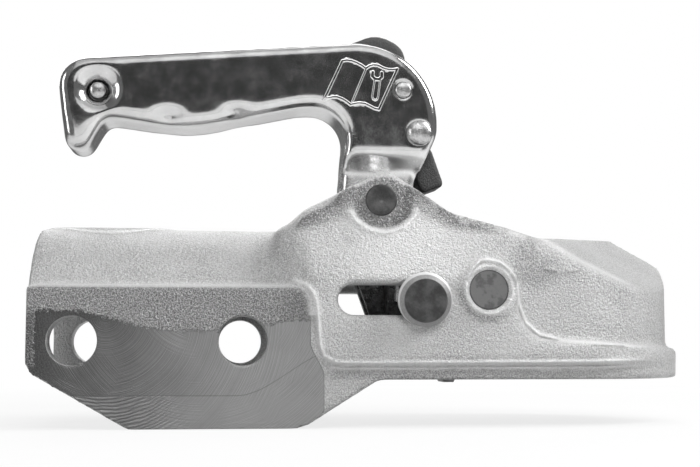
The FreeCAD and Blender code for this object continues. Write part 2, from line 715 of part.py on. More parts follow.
def make_housing():
    solids = housing_saddle() + housing_panels() + housing_ears() + housing_cup()
    return cut("coupling_housing", fuse("casting_blank", *solids), *housing_hollows())


def lever_corners():
    foot = s.lever_foot_radius
    return [
        (-s.grip_rear_top_x, s.grip_rear_top_z),
        (s.lever_front_x, s.lever_top_z),
        (s.lever_front_x - 0.4, s.lever_nose_z),
        (s.lever_waist_x, s.lever_waist_z),
        (s.lever_pivot_x + foot, s.lever_pivot_z),
        (s.lever_pivot_x + foot, s.lever_pivot_z - foot),
        (s.lever_pivot_x - foot + 1.5, s.lever_pivot_z - foot),
        (s.lever_rear_x - 1.2, s.lever_pivot_z),
        (s.lever_throat_x, s.lever_throat_z),
        (s.grip_crest_x, s.grip_crest_z),
        (s.grip_belly_x, s.grip_belly_z),
        (-s.hook_x, s.hook_z),
        (-s.hook_tip_x, s.grip_bottom_z),
        (-s.grip_rear_bottom_x, s.grip_bottom_z),
    ]


def lever_layer(face, half_width, inset, edge_round):
    """The lever's outline, drawn in by the inset, pulled to its width and rounded along both sides."""
    drawn = face.makeOffset2D(-inset) if inset else face
    half = half_width - inset
    solid = drawn.extrude(FreeCAD.Vector(0, 2 * half, 0))
    solid.translate(FreeCAD.Vector(0, -half - solid.BoundBox.YMin, 0))
    rims = [
        edge for edge in solid.Edges
        if all(abs(abs(v.Y) - half) < CORNER_MATCH for v in edge.Vertexes)
    ]
    return solid.makeFillet(edge_round - inset, rims)


def section_block(half_wide, half_narrow, top, bottom, reach):
    """A block along X that is wide above the joggle and narrow below it."""
    corners = [
        (half_wide, reach), (half_wide, top), (half_narrow, bottom), (half_narrow, 0),
        (-half_narrow, 0), (-half_narrow, bottom), (-half_wide, top), (-half_wide, reach),
    ]
    wire = Part.makePolygon([FreeCAD.Vector(-reach, y, z) for y, z in corners + corners[:1]])
    return Part.Face(wire).extrude(FreeCAD.Vector(reach * 2, 0, 0))


def lever_volume(face, inset):
    """The lever as a full solid: wide grip, joggle and narrow neck."""
    wide = value_of(s.grip_half_width)
    narrow = value_of(s.neck_half_width)
    top = value_of(s.joggle_top)
    bottom = value_of(s.joggle_bottom)
    edge = value_of(s.lever_edge_round)
    reach = value_of(s.lever_top_z) * 2
    grip = lever_layer(face, wide, inset, edge).common(
        section_block(wide, narrow - inset, top, bottom, reach))
    neck = lever_layer(face, narrow, inset, edge)
    below = Part.makeBox(reach * 2, reach, bottom, FreeCAD.Vector(-reach, -reach / 2, 0))
    above = Part.makeBox(reach * 2, reach, reach, FreeCAD.Vector(-reach, -reach / 2, bottom))
    return grip.common(above).fuse(neck.common(below))


def feature(name, shape):
    item = document.addObject("Part::Feature", name)
    item.Shape = shape
    return item


def make_lever():
    """Pressed lever shell: hollow, open at its foot, with a dish at the rear and a slot for the catch."""
    rounds = dict(LEVER_ROUNDS)
    rounds[value_of(s.lever_top_round)] = [1]
    pattern = prism("lever_pattern", "side", lever_corners(), s.grip_half_width * 2, rounds=rounds)
    face = min(pattern.Shape.Faces, key=lambda f: f.CenterOfMass.y)
    outside = feature("lever_outside", lever_volume(face, 0))
    inside = feature("lever_inside", lever_volume(face, value_of(s.sheet)))
    dishes = []
    cups = []
    for sign, side in ((-1, "near"), (1, "far")):
        for grow, group in ((0, dishes), (1, cups)):
            name = "dish_%s_%d" % (side, grow)
            extra = s.sheet * grow
            cone = document.addObject("Part::Cone", name)
            cone.Placement.Rotation = FreeCAD.Rotation(FreeCAD.Vector(1, 0, 0), 90 * sign)
            bind(cone, Radius1=s.dish_radius + extra, Radius2=s.dish_floor_radius + extra,
                 Height=s.dish_depth, place_x=-s.dish_x, place_z=s.dish_z,
                 place_y=(s.grip_half_width - extra) * sign)
            floor = s.grip_half_width - s.dish_depth - extra
            deep = s.grip_half_width - s.dish_depth * 2 - extra
            step = document.addObject("Part::Cone", name + "_step")
            step.Placement.Rotation = FreeCAD.Rotation(FreeCAD.Vector(1, 0, 0), 90 * sign)
            bind(step, Radius1=s.dish_floor_radius + extra, Radius2=s.end_hole_radius + extra,
                 Height=floor - deep, place_x=-s.dish_x, place_z=s.dish_z, place_y=floor * sign)
            group += [cone, step]
    hollow = cut("lever_hollow", inside, *cups)
    neck_inner = s.neck_half_width - s.sheet
    foot = s.lever_foot_radius
    slot_half = s.catch_half_width + s.catch_gap
    openings = [
        box("foot_mouth", (s.lever_pivot_x - foot * 2, s.lever_pivot_x + foot * 2),
            (-neck_inner, neck_inner), (s.slide_pin_z, s.lever_skirt_z)),
        box("hump_slot", (s.catch_slot_rear, s.catch_slot_front), (-slot_half, slot_half),
            (s.catch_slot_floor, s.lever_top_z + OVERCUT)),
        box("tail_slot", (s.tail_slot_rear, s.lever_front_x + OVERCUT), (-slot_half, slot_half),
            (s.lever_pivot_z, s.tail_slot_top)),
        lever_bore("lever_pivot_bore", bush_outer + s.fit_gap, s.lever_pivot_x, s.lever_pivot_z),
        lever_bore("catch_bore", s.catch_rivet_radius + s.fit_gap, s.catch_pivot_x, s.catch_pivot_z),
        lever_bore("stop_bore", s.stop_rivet_radius + s.fit_gap, s.stop_rivet_x, s.stop_rivet_z),
        lever_bore("end_bore", s.end_hole_radius, -s.dish_x, s.dish_z),
    ]
    return cut("hand_lever", outside, hollow, *(dishes + openings))


def lever_bore(name, radius, x, z):
    out = s.grip_half_width + OVERCUT
    return across(name, radius, x, z, -out, out)


bush_outer = s.pivot_pin_radius + s.running_gap + s.bush_wall
fork_outer = s.neck_half_width - s.sheet - s.side_gap


def make_fork():
    """Two cam plates and the web that joins them. Their slots carry the sliding pin."""
    hub = across("fork_hub", s.fork_hub_radius, s.lever_pivot_x, s.lever_pivot_z,
                 -fork_outer, fork_outer)
    end_x = s.slide_pin_x - s.fork_end_offset
    end = across("fork_end", s.fork_end_radius, end_x, s.slide_pin_z, -fork_outer, fork_outer)
    # The arm's edges touch the round hub and the round end at these shares of their radii.
    touch_x = 0.95
    touch_z = 0.31
    arm = prism("fork_arm", "side", [
        (s.lever_pivot_x - s.fork_hub_radius * touch_x, s.lever_pivot_z - s.fork_hub_radius * touch_z),
        (end_x - s.fork_end_radius * touch_x, s.slide_pin_z - s.fork_end_radius * touch_z),
        (end_x + s.fork_end_radius * touch_x, s.slide_pin_z + s.fork_end_radius * touch_z),
        (s.lever_pivot_x + s.fork_hub_radius * touch_x, s.lever_pivot_z + s.fork_hub_radius * touch_z),
    ], fork_outer * 2)
    top = prism("fork_top", "side", [
        (s.fork_rear, s.lever_pivot_z), (s.fork_front, s.lever_pivot_z),
        (s.fork_front, s.fork_top_z - s.fork_corner),
        (s.fork_front - s.fork_corner, s.fork_top_z), (s.fork_rear, s.fork_top_z),
    ], fork_outer * 2)
    plates = fuse("fork_blank", hub, end, arm, top)
    inner = fork_outer - s.fork_thickness
    front = s.slide_pin_x + s.fork_end_radius * 2
    gap_front = box("fork_gap", (s.fork_rear + s.fork_thickness, front), (-inner, inner),
                    (-s.cheek_drop, s.lever_top_z))
    gap_low = box("fork_gap_low", (s.chamber_rear, front), (-inner, inner),
                  (-s.cheek_drop, s.fork_web_bottom))
    relief = box("fork_relief", (s.chamber_rear, s.lever_rear_x + s.sheet + s.side_gap * 2),
                 (-s.grip_half_width, s.grip_half_width),
                 (s.lever_skirt_z - s.side_gap, s.lever_top_z))
    bore = lever_bore("fork_bore", bush_outer + s.fit_gap, s.lever_pivot_x, s.lever_pivot_z)
    run = value_of(s.slide_pin_x) - value_of(s.lever_pivot_x)
    drop = value_of(s.lever_pivot_z) - value_of(s.slide_pin_z)
    far_end = math.hypot(run, drop)
    tilt = math.atan2(run, drop)
    half = value_of(s.slide_pin_radius) + value_of(s.fork_slot_gap)
    out = value_of(s.grip_half_width)
    low = far_end + value_of(s.fork_slot_gap)
    high = drop - value_of(s.fork_slot_gap)
    middle = Part.makeBox(half * 2, out * 2, low - high, FreeCAD.Vector(-half, -out, -low))
    ends = [
        Part.makeCylinder(half, out * 2, FreeCAD.Vector(0, -out, -z), FreeCAD.Vector(0, 1, 0))
        for z in (low, high)
    ]
    slot_shape = middle.fuse(ends)
    slot_shape.rotate(FreeCAD.Vector(), FreeCAD.Vector(0, 1, 0), -math.degrees(tilt))
    slot_shape.translate(FreeCAD.Vector(value_of(s.lever_pivot_x), 0, value_of(s.lever_pivot_z)))
    slot = feature("fork_slot", slot_shape)
    return cut("lever_fork", plates, gap_front, gap_low, relief, bore, slot)


def make_pins():
    """Pins, rivets, bush and rings, all turned."""
    end = ear_face - s.spot_depth + s.pin_proud
    dish = s.pivot_pin_dish
    bevel = s.pin_chamfer
    radius = s.pivot_pin_radius
    pivot = turned("lever_pivot_pin", [
        (0, -end + dish), (radius - s.pin_rim, -end), (radius - bevel, -end),
        (radius, -end + bevel), (radius, end - bevel), (radius - bevel, end),
        (radius - s.pin_rim, end), (0, end - dish),
    ], s.lever_pivot_x, s.lever_pivot_z)
    bush_end = s.neck_half_width + s.side_gap
    bush = ring("pivot_bush", radius + s.running_gap, bush_outer, -bush_end, bush_end,
                s.lever_pivot_x, s.lever_pivot_z)
    washers = []
    for sign, side in ((-1, "near"), (1, "far")):
        inner_face = (bush_end + s.side_gap) * sign
        outer_face = (bush_end + s.side_gap + s.washer_thickness) * sign
        faces = (outer_face, inner_face) if sign < 0 else (inner_face, outer_face)
        washers.append(ring("pivot_washer_" + side, radius + s.running_gap, s.fork_hub_radius - 3,
                            faces[0], faces[1], s.lever_pivot_x, s.lever_pivot_z))
    jaw_end = s.panel_half_width + s.pin_proud
    jaw_radius = s.jaw_pin_radius - s.fit_gap
    jaw_pin = turned("jaw_pin", [
        (0, -jaw_end), (jaw_radius - bevel, -jaw_end), (jaw_radius, -jaw_end + bevel),
        (jaw_radius, jaw_end - bevel), (jaw_radius - bevel, jaw_end), (0, jaw_end),
    ], s.jaw_pin_x, s.jaw_pin_z)
    seat = s.panel_half_width + s.side_gap
    outer = seat + s.slide_head_height
    shank = s.slide_pin_radius
    groove = shank - s.ring_groove_depth
    groove_start = seat + s.washer_thickness + s.fit_gap
    groove_end = groove_start + s.ring_thickness + s.fit_gap * 2
    tip = groove_end + s.ring_thickness
    sliding = turned("sliding_pin", [
        (0, -outer), (s.slide_head_face_radius, -outer),
        (s.slide_head_radius, -outer + s.slide_head_bevel),
        (s.slide_head_radius, -seat), (shank, -seat), (shank, groove_start),
        (groove, groove_start), (groove, groove_end), (shank, groove_end),
        (shank, tip), (shank - s.slide_end_chamfer, tip + s.slide_end_chamfer),
        (0, tip + s.slide_end_chamfer),
    ], s.slide_pin_x, s.slide_pin_z)
    washer = ring("sliding_pin_washer", shank + s.running_gap, s.slide_head_radius, seat,
                  seat + s.washer_thickness, s.slide_pin_x, s.slide_pin_z)
    clip_start = groove_start + s.fit_gap
    clip = ring("sliding_pin_ring", groove + s.fit_gap, shank + s.ring_reach, clip_start,
                clip_start + s.ring_thickness, s.slide_pin_x, s.slide_pin_z)
    return [pivot, bush, *washers, jaw_pin, sliding, washer, clip]


def rivet(name, radius, head_radius, head_height, x, z):
    """A rivet across the lever with the same domed head on both sides."""
    face = s.grip_half_width
    near = dome(head_radius, head_height, -face, -1)
    far = dome(head_radius, head_height, face, 1)
    profile = near[::-1] + [(radius, -face), (radius, face)] + far
    return turned(name, profile, x, z)


def make_rivets():
    catch = rivet("catch_rivet", s.catch_rivet_radius, s.catch_rivet_head_radius,
                  s.catch_rivet_head_height, s.catch_pivot_x, s.catch_pivot_z)
    stop = rivet("stop_rivet", s.stop_rivet_radius, s.stop_rivet_head_radius,
                 s.stop_rivet_head_height, s.stop_rivet_x, s.stop_rivet_z)
    end_face = s.grip_half_width - s.dish_depth - s.stop_rivet_head_height
    shank = s.end_rivet_radius
    near = dome(shank, s.end_rivet_crown, -end_face, -1)
    far = dome(shank, s.end_rivet_crown, end_face, 1)
    end = turned("end_rivet", near[::-1] + far, -s.dish_x, s.dish_z)
    floor = s.grip_half_width - s.dish_depth * 2 - s.sheet * 2
    spacer = ring("end_spacer", shank + s.fit_gap, shank + s.end_spacer_wall, -floor, floor,
                  -s.dish_x, s.dish_z)
    return [catch, stop, end, spacer]


def make_wedges():
    """Two blocks on the sliding pin that hold the jaw shut."""
    made = []
    front = s.jaw_back - s.side_gap
    half = s.wedge_half_height
    for sign, side in ((-1, "near"), (1, "far")):
        block = prism("wedge_block_" + side, "side", [
            (s.wedge_rear, s.slide_pin_z - half), (front - s.wedge_bevel, s.slide_pin_z - half),
            (front, s.slide_pin_z - half + s.wedge_bevel), (front, s.slide_pin_z + half),
            (s.wedge_rear, s.slide_pin_z + half),
        ], s.wedge_half_width * 2, rounds=WEDGE_ROUNDS)
        inner = fork_outer + s.side_gap * 2
        outer = s.wedge_half_width + OVERCUT
        faces = (-outer, -inner) if sign < 0 else (inner, outer)
        side_box = box("wedge_side_" + side, (s.chamber_rear, s.jaw_pin_x), faces,
                       (-s.cheek_drop, s.lever_pivot_z))
        half_block = common("wedge_half_" + side, block, side_box)
        bore = across("wedge_bore_" + side, s.slide_pin_radius + s.fit_gap, s.slide_pin_x,
                      s.slide_pin_z, -s.panel_half_width, s.panel_half_width)
        made.append(cut("locking_wedge_" + side, half_block, bore))
    return made


def make_jaw():
    """Jaw that hangs on its pin and grips the ball from behind and below."""
    hub_half = s.chamber_half_width - s.side_gap
    hub = across("jaw_hub", s.jaw_hub_radius, s.jaw_pin_x, s.jaw_pin_z, -hub_half, hub_half)
    body = prism("jaw_body", "side", [
        (s.jaw_back, s.jaw_pin_z), (s.jaw_back, -s.panel_bottom),
        (s.jaw_back + s.jaw_way_gap, -s.jaw_lip_drop), (s.jaw_lip_front, -s.jaw_lip_drop),
        (s.jaw_lip_front, s.jaw_lip_top),
        (s.jaw_pin_x + s.boss_radius, s.jaw_pin_z - s.jaw_hub_radius / 3),
        (s.jaw_pin_x, s.jaw_pin_z),
    ], s.jaw_half_width * 2, rounds=JAW_ROUNDS)
    tongue_end = s.jaw_back + s.jaw_tongue_length
    slope = s.jaw_tongue_slope
    tongue = prism("jaw_tongue", "side", [
        (s.jaw_back, -s.panel_bottom), (s.jaw_back, -s.jaw_lip_drop),
        (s.jaw_back + slope, -s.jaw_tongue_drop), (tongue_end, -s.jaw_tongue_drop),
        (tongue_end + slope, -s.jaw_lip_drop), (tongue_end + slope, -s.panel_bottom),
    ], s.jaw_tongue_half_width * 2)
    seat = sphere("jaw_seat", s.ball_radius + s.jaw_ball_gap, s.ball_forward, 0)
    bore = across("jaw_bore", s.jaw_pin_radius + s.running_gap, s.jaw_pin_x, s.jaw_pin_z,
                  -s.panel_half_width, s.panel_half_width)
    return cut("ball_jaw", fuse("jaw_blank", hub, body, tongue), seat, bore)


def make_catch():
    """Plastic catch in the lever: thumb hump on top, arm down to its rivet, tail in front."""
    x, z = s.catch_pivot_x, s.catch_pivot_z
    hump = s.catch_hump_z
    body = prism("catch_body", "side", [
        (s.catch_rear_x - 2, s.lever_top_z - 4.4),
        (s.catch_rear_x, s.lever_top_z - 0.6),
        (s.catch_hump_x - 0.9, hump + 1.3),
        (x - 2, hump - 3.9),
        (x + 0.7, z + 18),
        (x + 2.4, z + 6),
        (x + 3, z - 2),
        (x + 5.6, z - 5.4),
        (s.catch_tail_x, s.catch_tail_z),
        (s.catch_tail_rear_x, s.catch_tail_rear_z),
        (x - 3.4, z - 10),
        (x - 6, z - 2),
        (x - 6.5, z + 9),
        (x - 11, z + 19),
        (x - 15, z + 26),
    ], s.catch_half_width * 2, rounds=CATCH_ROUNDS)
    bore = lever_bore("catch_pivot_bore", s.catch_rivet_radius + s.running_gap, x, z)
    run = value_of(s.stop_rivet_x) - value_of(x)
    rise = value_of(s.stop_rivet_z) - value_of(z)
    swing = math.radians(value_of(s.catch_swing))
    ends = []
    for step in range(STOP_SLOT_STEPS + 1):
        angle = swing * step / STOP_SLOT_STEPS
        ends.append(lever_bore(
            "stop_slot_%d" % step, s.stop_rivet_radius + s.side_gap,
            x + (run * math.cos(angle) + rise * math.sin(angle)),
            z + (rise * math.cos(angle) - run * math.sin(angle))))
    arm = across("catch_arm", s.stop_rivet_radius + 3.5, s.stop_rivet_x + 0.9, s.stop_rivet_z,
                 -s.catch_half_width, s.catch_half_width)
    return cut("safety_catch", fuse("catch_blank", body, arm), bore, *ends)


def torsion_spring(name, centre, coil_radius, wire, first_y, last_y, first_end, last_end):
    """A coil across the head with two straight legs. The ends are (X, Z) points."""
    cx, cz = centre

    def leave(end, clockwise):
        run, rise = end[0] - cx, end[1] - cz
        turn = math.acos(coil_radius / math.hypot(run, rise))
        return math.atan2(rise, run) + (turn if clockwise else -turn)

    start = leave(first_end, False)
    stop = leave(last_end, True)
    sweep = (start - stop) % (2 * math.pi) + 2 * math.pi * SPRING_COILS
    steps = int(sweep * COIL_STEPS / (2 * math.pi)) + 1
    path = []
    outward = []
    for step in range(steps + 1):
        angle = start - sweep * step / steps
        along = first_y + (last_y - first_y) * step / steps
        out = FreeCAD.Vector(math.cos(angle), 0, math.sin(angle))
        path.append(FreeCAD.Vector(cx, along, cz) + out * coil_radius)
        outward.append(out)
    path.insert(0, FreeCAD.Vector(first_end[0], first_y, first_end[1]))
    path.append(FreeCAD.Vector(last_end[0], last_y, last_end[1]))
    outward.insert(0, outward[0])
    outward.append(outward[-1])
    return feature(name, faceted_wire(path, outward, wire))


def faceted_wire(path, outward, radius):
    """A wire with flats round it, drawn along a path. The outward vectors keep it from twisting."""
    rings = []
    for index, (point, out) in enumerate(zip(path, outward)):
        before = path[max(index - 1, 0)]
        after = path[min(index + 1, len(path) - 1)]
        along = (after - before).normalize()
        across_wire = along.cross(out).normalize()
        level = across_wire.cross(along)
        angles = [2 * math.pi * side / WIRE_SIDES for side in range(WIRE_SIDES)]
        rings.append([
            point + level * (radius * math.cos(a)) + across_wire * (radius * math.sin(a)) for a in angles
        ])
    triangles = []
    for low, high in zip(rings, rings[1:]):
        for side in range(WIRE_SIDES):
            following = (side + 1) % WIRE_SIDES
            triangles.append((low[side], low[following], high[side]))
            triangles.append((low[following], high[following], high[side]))
    ends = [Part.Face(Part.makePolygon(ring + ring[:1])) for ring in (rings[0], rings[-1])]
    faces = [Part.Face(Part.makePolygon([a, b, c, a])) for a, b, c in triangles]
    shell = Part.Shell(ends + faces)
    shell.sewShape()
    solid = Part.Solid(shell)
    if solid.Volume < 0:
        solid.reverse()
    return solid


def make_springs():
    wire = value_of(s.spring_wire_radius)
    inner = value_of(s.neck_half_width) + value_of(s.side_gap) * 2 + value_of(s.washer_thickness)
    inner_y = -inner - wire * 1.3
    outer_y = -value_of(ear_inner) + wire * 2
    pivot = (value_of(s.lever_pivot_x), value_of(s.lever_pivot_z))
    gap = value_of(s.side_gap)
    rear_end = (value_of(s.chamber_rear) + wire * 2, value_of(s.chamber_ceiling) - wire * 4)
    pin_end = (value_of(s.slide_pin_x) - value_of(s.slide_pin_radius) - wire - gap,
               value_of(s.slide_pin_z))
    near_spring = torsion_spring(
        "return_spring_near", pivot, value_of(s.spring_coil_radius), wire, inner_y, outer_y,
        rear_end, pin_end)
    far_spring = document.addObject("Part::Mirroring", "return_spring_far")
    far_spring.Source = near_spring
    far_spring.Normal = (0, 1, 0)
    return [near_spring, far_spring]


def finish():
    document.recompute()
    bad = [item.Name for item in document.Objects if {"Invalid", "Error"} & set(item.State)]
    if bad:
        raise RuntimeError("failed objects: " + ", ".join(bad))


nodes = [make_housing(), make_lever(), make_fork(), *make_pins(), *make_rivets(), *make_wedges(),
         make_jaw(), make_catch(), *make_springs()]
finish()
os.makedirs("parts", exist_ok=True)
for node in nodes:
    shape = node.Shape
    if shape.isNull() or not shape.isValid():
        raise RuntimeError(node.Name + " has no valid shape")
    print("%-24s %2d solid, %9.2f mm3" % (node.Name, len(shape.Solids), shape.Volume))
    shape.exportStep("parts/%s.step" % node.Name)
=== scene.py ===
# %% [markdown]
# # A trailer coupling head
#
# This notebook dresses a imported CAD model: a zinc plated casting on a round drawbar, with a chromed hand
# lever, a black catch, dark pins and the lock inside. The CAD gives every place and size, in metres.
# Blender adds what the drawing leaves out: soft cast edges, sand grain, milling marks and polish.

import bpy
import json
import math
import numpy as np
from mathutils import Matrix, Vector


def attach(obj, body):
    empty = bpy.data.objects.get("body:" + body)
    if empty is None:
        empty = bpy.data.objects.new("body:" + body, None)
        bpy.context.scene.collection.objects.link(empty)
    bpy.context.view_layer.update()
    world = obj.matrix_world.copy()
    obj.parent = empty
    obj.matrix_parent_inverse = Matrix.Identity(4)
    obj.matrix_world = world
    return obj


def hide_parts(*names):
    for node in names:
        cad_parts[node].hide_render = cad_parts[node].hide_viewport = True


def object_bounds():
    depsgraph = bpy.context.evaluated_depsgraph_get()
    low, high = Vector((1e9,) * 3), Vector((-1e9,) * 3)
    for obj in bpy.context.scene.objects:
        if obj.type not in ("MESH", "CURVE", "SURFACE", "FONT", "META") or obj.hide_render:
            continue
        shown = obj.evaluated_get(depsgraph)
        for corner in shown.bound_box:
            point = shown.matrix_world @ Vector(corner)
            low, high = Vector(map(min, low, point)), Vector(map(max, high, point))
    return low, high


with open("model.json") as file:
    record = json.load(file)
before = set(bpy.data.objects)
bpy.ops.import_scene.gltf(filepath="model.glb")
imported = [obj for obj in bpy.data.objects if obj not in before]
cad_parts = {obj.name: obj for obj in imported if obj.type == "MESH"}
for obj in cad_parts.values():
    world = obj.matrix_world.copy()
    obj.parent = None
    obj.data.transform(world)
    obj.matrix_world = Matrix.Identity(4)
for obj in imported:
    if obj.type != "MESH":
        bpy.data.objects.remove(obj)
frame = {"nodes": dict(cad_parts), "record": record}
cad_box = [list(corner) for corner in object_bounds()]
nodes = frame["nodes"]
print("CAD box", cad_box)

# %% [markdown]
# ## The camera
#
# The picture was taken from the near side, a little below the drawbar's axis and turned a few degrees
# towards the nose. The lens follows from the size of the drawbar's arc and the distance between the
# holes.

# %% Camera
CAMERA_PLACE = (0.0211, -0.460, -0.002)
CAMERA_YAW = math.radians(5.78)
CAMERA_PITCH = math.radians(5.15)
FOCAL_PIXELS = 1259
PICTURE_WIDTH = 700
SENSOR_WIDTH = 36

camera_data = bpy.data.cameras.new("camera")
camera_data.sensor_width = SENSOR_WIDTH
camera_data.lens = FOCAL_PIXELS * SENSOR_WIDTH / PICTURE_WIDTH
camera_data.clip_start = 0.01
camera = bpy.data.objects.new("camera", camera_data)
bpy.context.scene.collection.objects.link(camera)
camera.location = CAMERA_PLACE
camera.rotation_euler = (math.radians(90) + CAMERA_PITCH, 0, -CAMERA_YAW)
bpy.context.scene.camera = camera
print("lens", round(camera_data.lens, 2), "mm")

# %% [markdown]
# ## Shader maths
#
# Node graphs get long when every sum is a node made by hand. A small class wraps a socket, so that
# `1 - mask * 0.5` adds the Math nodes by itself.

# %% Wires
class Wire:
    """A socket that a number comes out of. Its operators add Math nodes."""

    def __init__(self, finish, socket):
        self.finish = finish
        self.socket = socket

    def maths(self, operation, *values):
        return self.finish.node("ShaderNodeMath", {"operation": operation}, dict(enumerate(values)))

    def __add__(self, other):
        return self.maths("ADD", self, other)

    __radd__ = __add__

    def __sub__(self, other):
        return self.maths("SUBTRACT", self, other)

    def __rsub__(self, other):
        return self.maths("SUBTRACT", other, self)

    def __mul__(self, other):
        return self.maths("MULTIPLY", self, other)

    __rmul__ = __mul__

    def __truediv__(self, other):
        return self.maths("DIVIDE", self, other)

    def absolute(self):
        return self.maths("ABSOLUTE", self)

    def most(self, other):
        return self.maths("MAXIMUM", self, other)

    def wave(self, length):
        """Runs between 0 and 1 like a sine, once per length."""
        return self.maths("SINE", self * (2 * math.pi / length)) * 0.5 + 0.5

    def rise(self, low, high):
        """0 below low, 1 above high, with a soft step between."""
        sockets = {"Value": self, "From Min": low, "From Max": high}
        settings = {"interpolation_type": "SMOOTHSTEP"}
        return self.finish.node("ShaderNodeMapRange", settings, sockets)


print("wires can be added, subtracted, multiplied and divided")

# %% [markdown]
# A second class holds one material. Its method `node` makes a node and fills its sockets, and the others
# name the few nodes that the finishes share.

# %% Finishes
class Finish:
    """One material, with the Principled shader that everything feeds."""

    def __init__(self, name):
        self.material = bpy.data.materials.new(name)
        self.material.use_nodes = True
        self.tree = self.material.node_tree
        self.shader = self.tree.nodes["Principled BSDF"]
        self.place = self.node("ShaderNodeTexCoord", out="Object")
        self.x, self.y, self.z = self.split(self.place)

    def node(self, kind, settings=None, sockets=None, out=0):
        made = self.tree.nodes.new(kind)
        for key, value in (settings or {}).items():
            setattr(made, key, value)
        for key, value in (sockets or {}).items():
            self.plug(made.inputs[key], value)
        return Wire(self, made.outputs[out])

    def plug(self, socket, value):
        if isinstance(value, Wire):
            self.tree.links.new(value.socket, socket)
        else:
            socket.default_value = value

    def split(self, vector):
        node = self.tree.nodes.new("ShaderNodeSeparateXYZ")
        self.plug(node.inputs[0], vector)
        return [Wire(self, output) for output in node.outputs]

    def radius(self, x, z):
        """How far each spot is from a line across the head at X and Z."""
        aside = self.join(self.x - x, 0.0, self.z - z)
        return self.node("ShaderNodeVectorMath", {"operation": "LENGTH"}, {0: aside}, out="Value")

    def join(self, x, y, z):
        return self.node("ShaderNodeCombineXYZ", None, {0: x, 1: y, 2: z})

    def noise(self, size, detail=2.0, roughness=0.5):
        """Noise whose features are about that many metres across."""
        sockets = {"Vector": self.place, "Scale": 1 / size, "Detail": detail, "Roughness": roughness}
        return self.node("ShaderNodeTexNoise", None, sockets)

    def layer(self, name):
        """The number that each vertex of the mesh carries under this name."""
        return self.node("ShaderNodeAttribute", {"attribute_name": name}, out="Fac")

    def blend(self, factor, low, high):
        """A colour between two others."""
        return self.node("ShaderNodeMix", {"data_type": "RGBA"}, {0: factor, 6: low, 7: high}, out=2)

    def grey(self, factor, low, high):
        return self.blend(factor, grey_tint(low), grey_tint(high))

    def bump(self, height, distance):
        return self.node("ShaderNodeBump", None, {"Height": height, "Distance": distance})

    def feed(self, **values):
        """Sets the shader's sockets: base_color feeds Base Color, and so on."""
        for key, value in values.items():
            self.plug(self.shader.inputs[key.replace("_", " ").title()], value)


MM = 0.001


def grey_tint(value):
    return (value, value, value, 1)


print("a millimetre is", MM, "m")

# %% [markdown]
# ## The casting's finish
#
# The housing is sand cast and zinc plated. Sand leaves grains a little under a millimetre across, and
# zinc makes them sparkle in pale grey. The side pads are rough on top and milled below, where the cutter
# left wide arcs, so one material holds both finishes, told apart by place. The masks come first. Each is
# 1 where its mark lies and 0 elsewhere.

# %% Masks of the side pads
PAD_FACE = 40 * MM
PAD_TOP = 18.4 * MM
PAD_FRONT = 50.6 * MM
PAD_FOOT_FRONT = 55.2 * MM
PAD_FOOT_DROP = 12 * MM
PAD_ROUND = 6.5 * MM
REAR_STRIP = 40.5 * MM
REAR_STRIP_FOOT = (-9 * MM, -8 * MM)
CUT_TOP = 10.3 * MM
CUT_RAGGED = 7 * MM
CUT_FALL = -6.6 * MM
CUT_FALL_ALONG = (-30 * MM, 4 * MM)
CUT_CLIMB = 3.5 * MM
CUT_CLIMB_ALONG = (22 * MM, 48 * MM)


def pad_edge(finish):
    """The ragged height up to which the cutter reached. It falls towards the middle and climbs after."""
    ragged = (finish.noise(1.6 * MM, detail=4.0, roughness=0.8) - 0.5) * CUT_RAGGED
    fall = finish.x.rise(*CUT_FALL_ALONG) * CUT_FALL
    climb = finish.x.rise(*CUT_CLIMB_ALONG) * CUT_CLIMB
    return fall + climb + ragged + CUT_TOP


def pad_masks(finish):
    """Where the flat pads are, and where the cutter has milled them."""
    x, z = finish.x, finish.z
    side = finish.y.absolute()
    face = side.rise(PAD_FACE - 0.3 * MM, PAD_FACE - 0.2 * MM)
    face = face * (1 - side.rise(PAD_FACE + 1.3 * MM, PAD_FACE + 1.7 * MM))
    front = (1 - z.rise(-PAD_FOOT_DROP, 0)) * (PAD_FOOT_FRONT - PAD_FRONT) + PAD_FRONT
    past_x = (x - front + PAD_ROUND).most(0.0)
    past_z = (z - PAD_TOP + PAD_ROUND).most(0.0)
    inside = 1 - (past_x * past_x + past_z * past_z).rise((0.94 * PAD_ROUND) ** 2, PAD_ROUND ** 2)
    pad = face * inside
    worn_in = (finish.noise(0.9 * MM, detail=3.0) - 0.5) * (3 * MM)
    ahead = (x + REAR_STRIP + worn_in).rise(0, 0.8 * MM).most(1 - z.rise(*REAR_STRIP_FOOT))
    milled = pad * ahead * (pad_edge(finish) - z).rise(0, 0.5 * MM)
    return pad, milled


print("pads from X", PAD_FOOT_FRONT, "m to the rear")

# %% [markdown]
# More marks lie on the panels and on top of the saddle: the rough ear faces, painted shade under the jaw
# pin's boss, in the pocket's corner and along the foot, and the lens where the metal ran into the mould.

# %% Masks of the ears, the corners and the lens
SPOT_CENTRE = (75.5 * MM, 48.5 * MM)
SPOT_REACH = 12 * MM
SPOT_FOOT = (36 * MM, 40 * MM)
EAR_FACE = (36.9 * MM, 37.5 * MM)
EAR_SLOPE = 0.56
EAR_STRIP = (48 * MM, 56 * MM)
JAW_PIN = (110.6 * MM, 17.2 * MM)
SHADE_SLANT = 0.7
SHADE_EDGE = 90 * MM
POCKET_CORNER = (128 * MM, 27 * MM)
OUTER_WALLS = (36 * MM, 37 * MM)
FOOT_BAND = (-13 * MM, -9.6 * MM)
FOOT_START = (56 * MM, 59 * MM)
FOOT_END = (140 * MM, 162 * MM)
GATE_MIDDLE = -18.6 * MM
GATE_HALF_LENGTH = 22.3 * MM
GATE_HALF_WIDTH = 12.5 * MM
GATE_LEVEL = (34 * MM, 35 * MM)


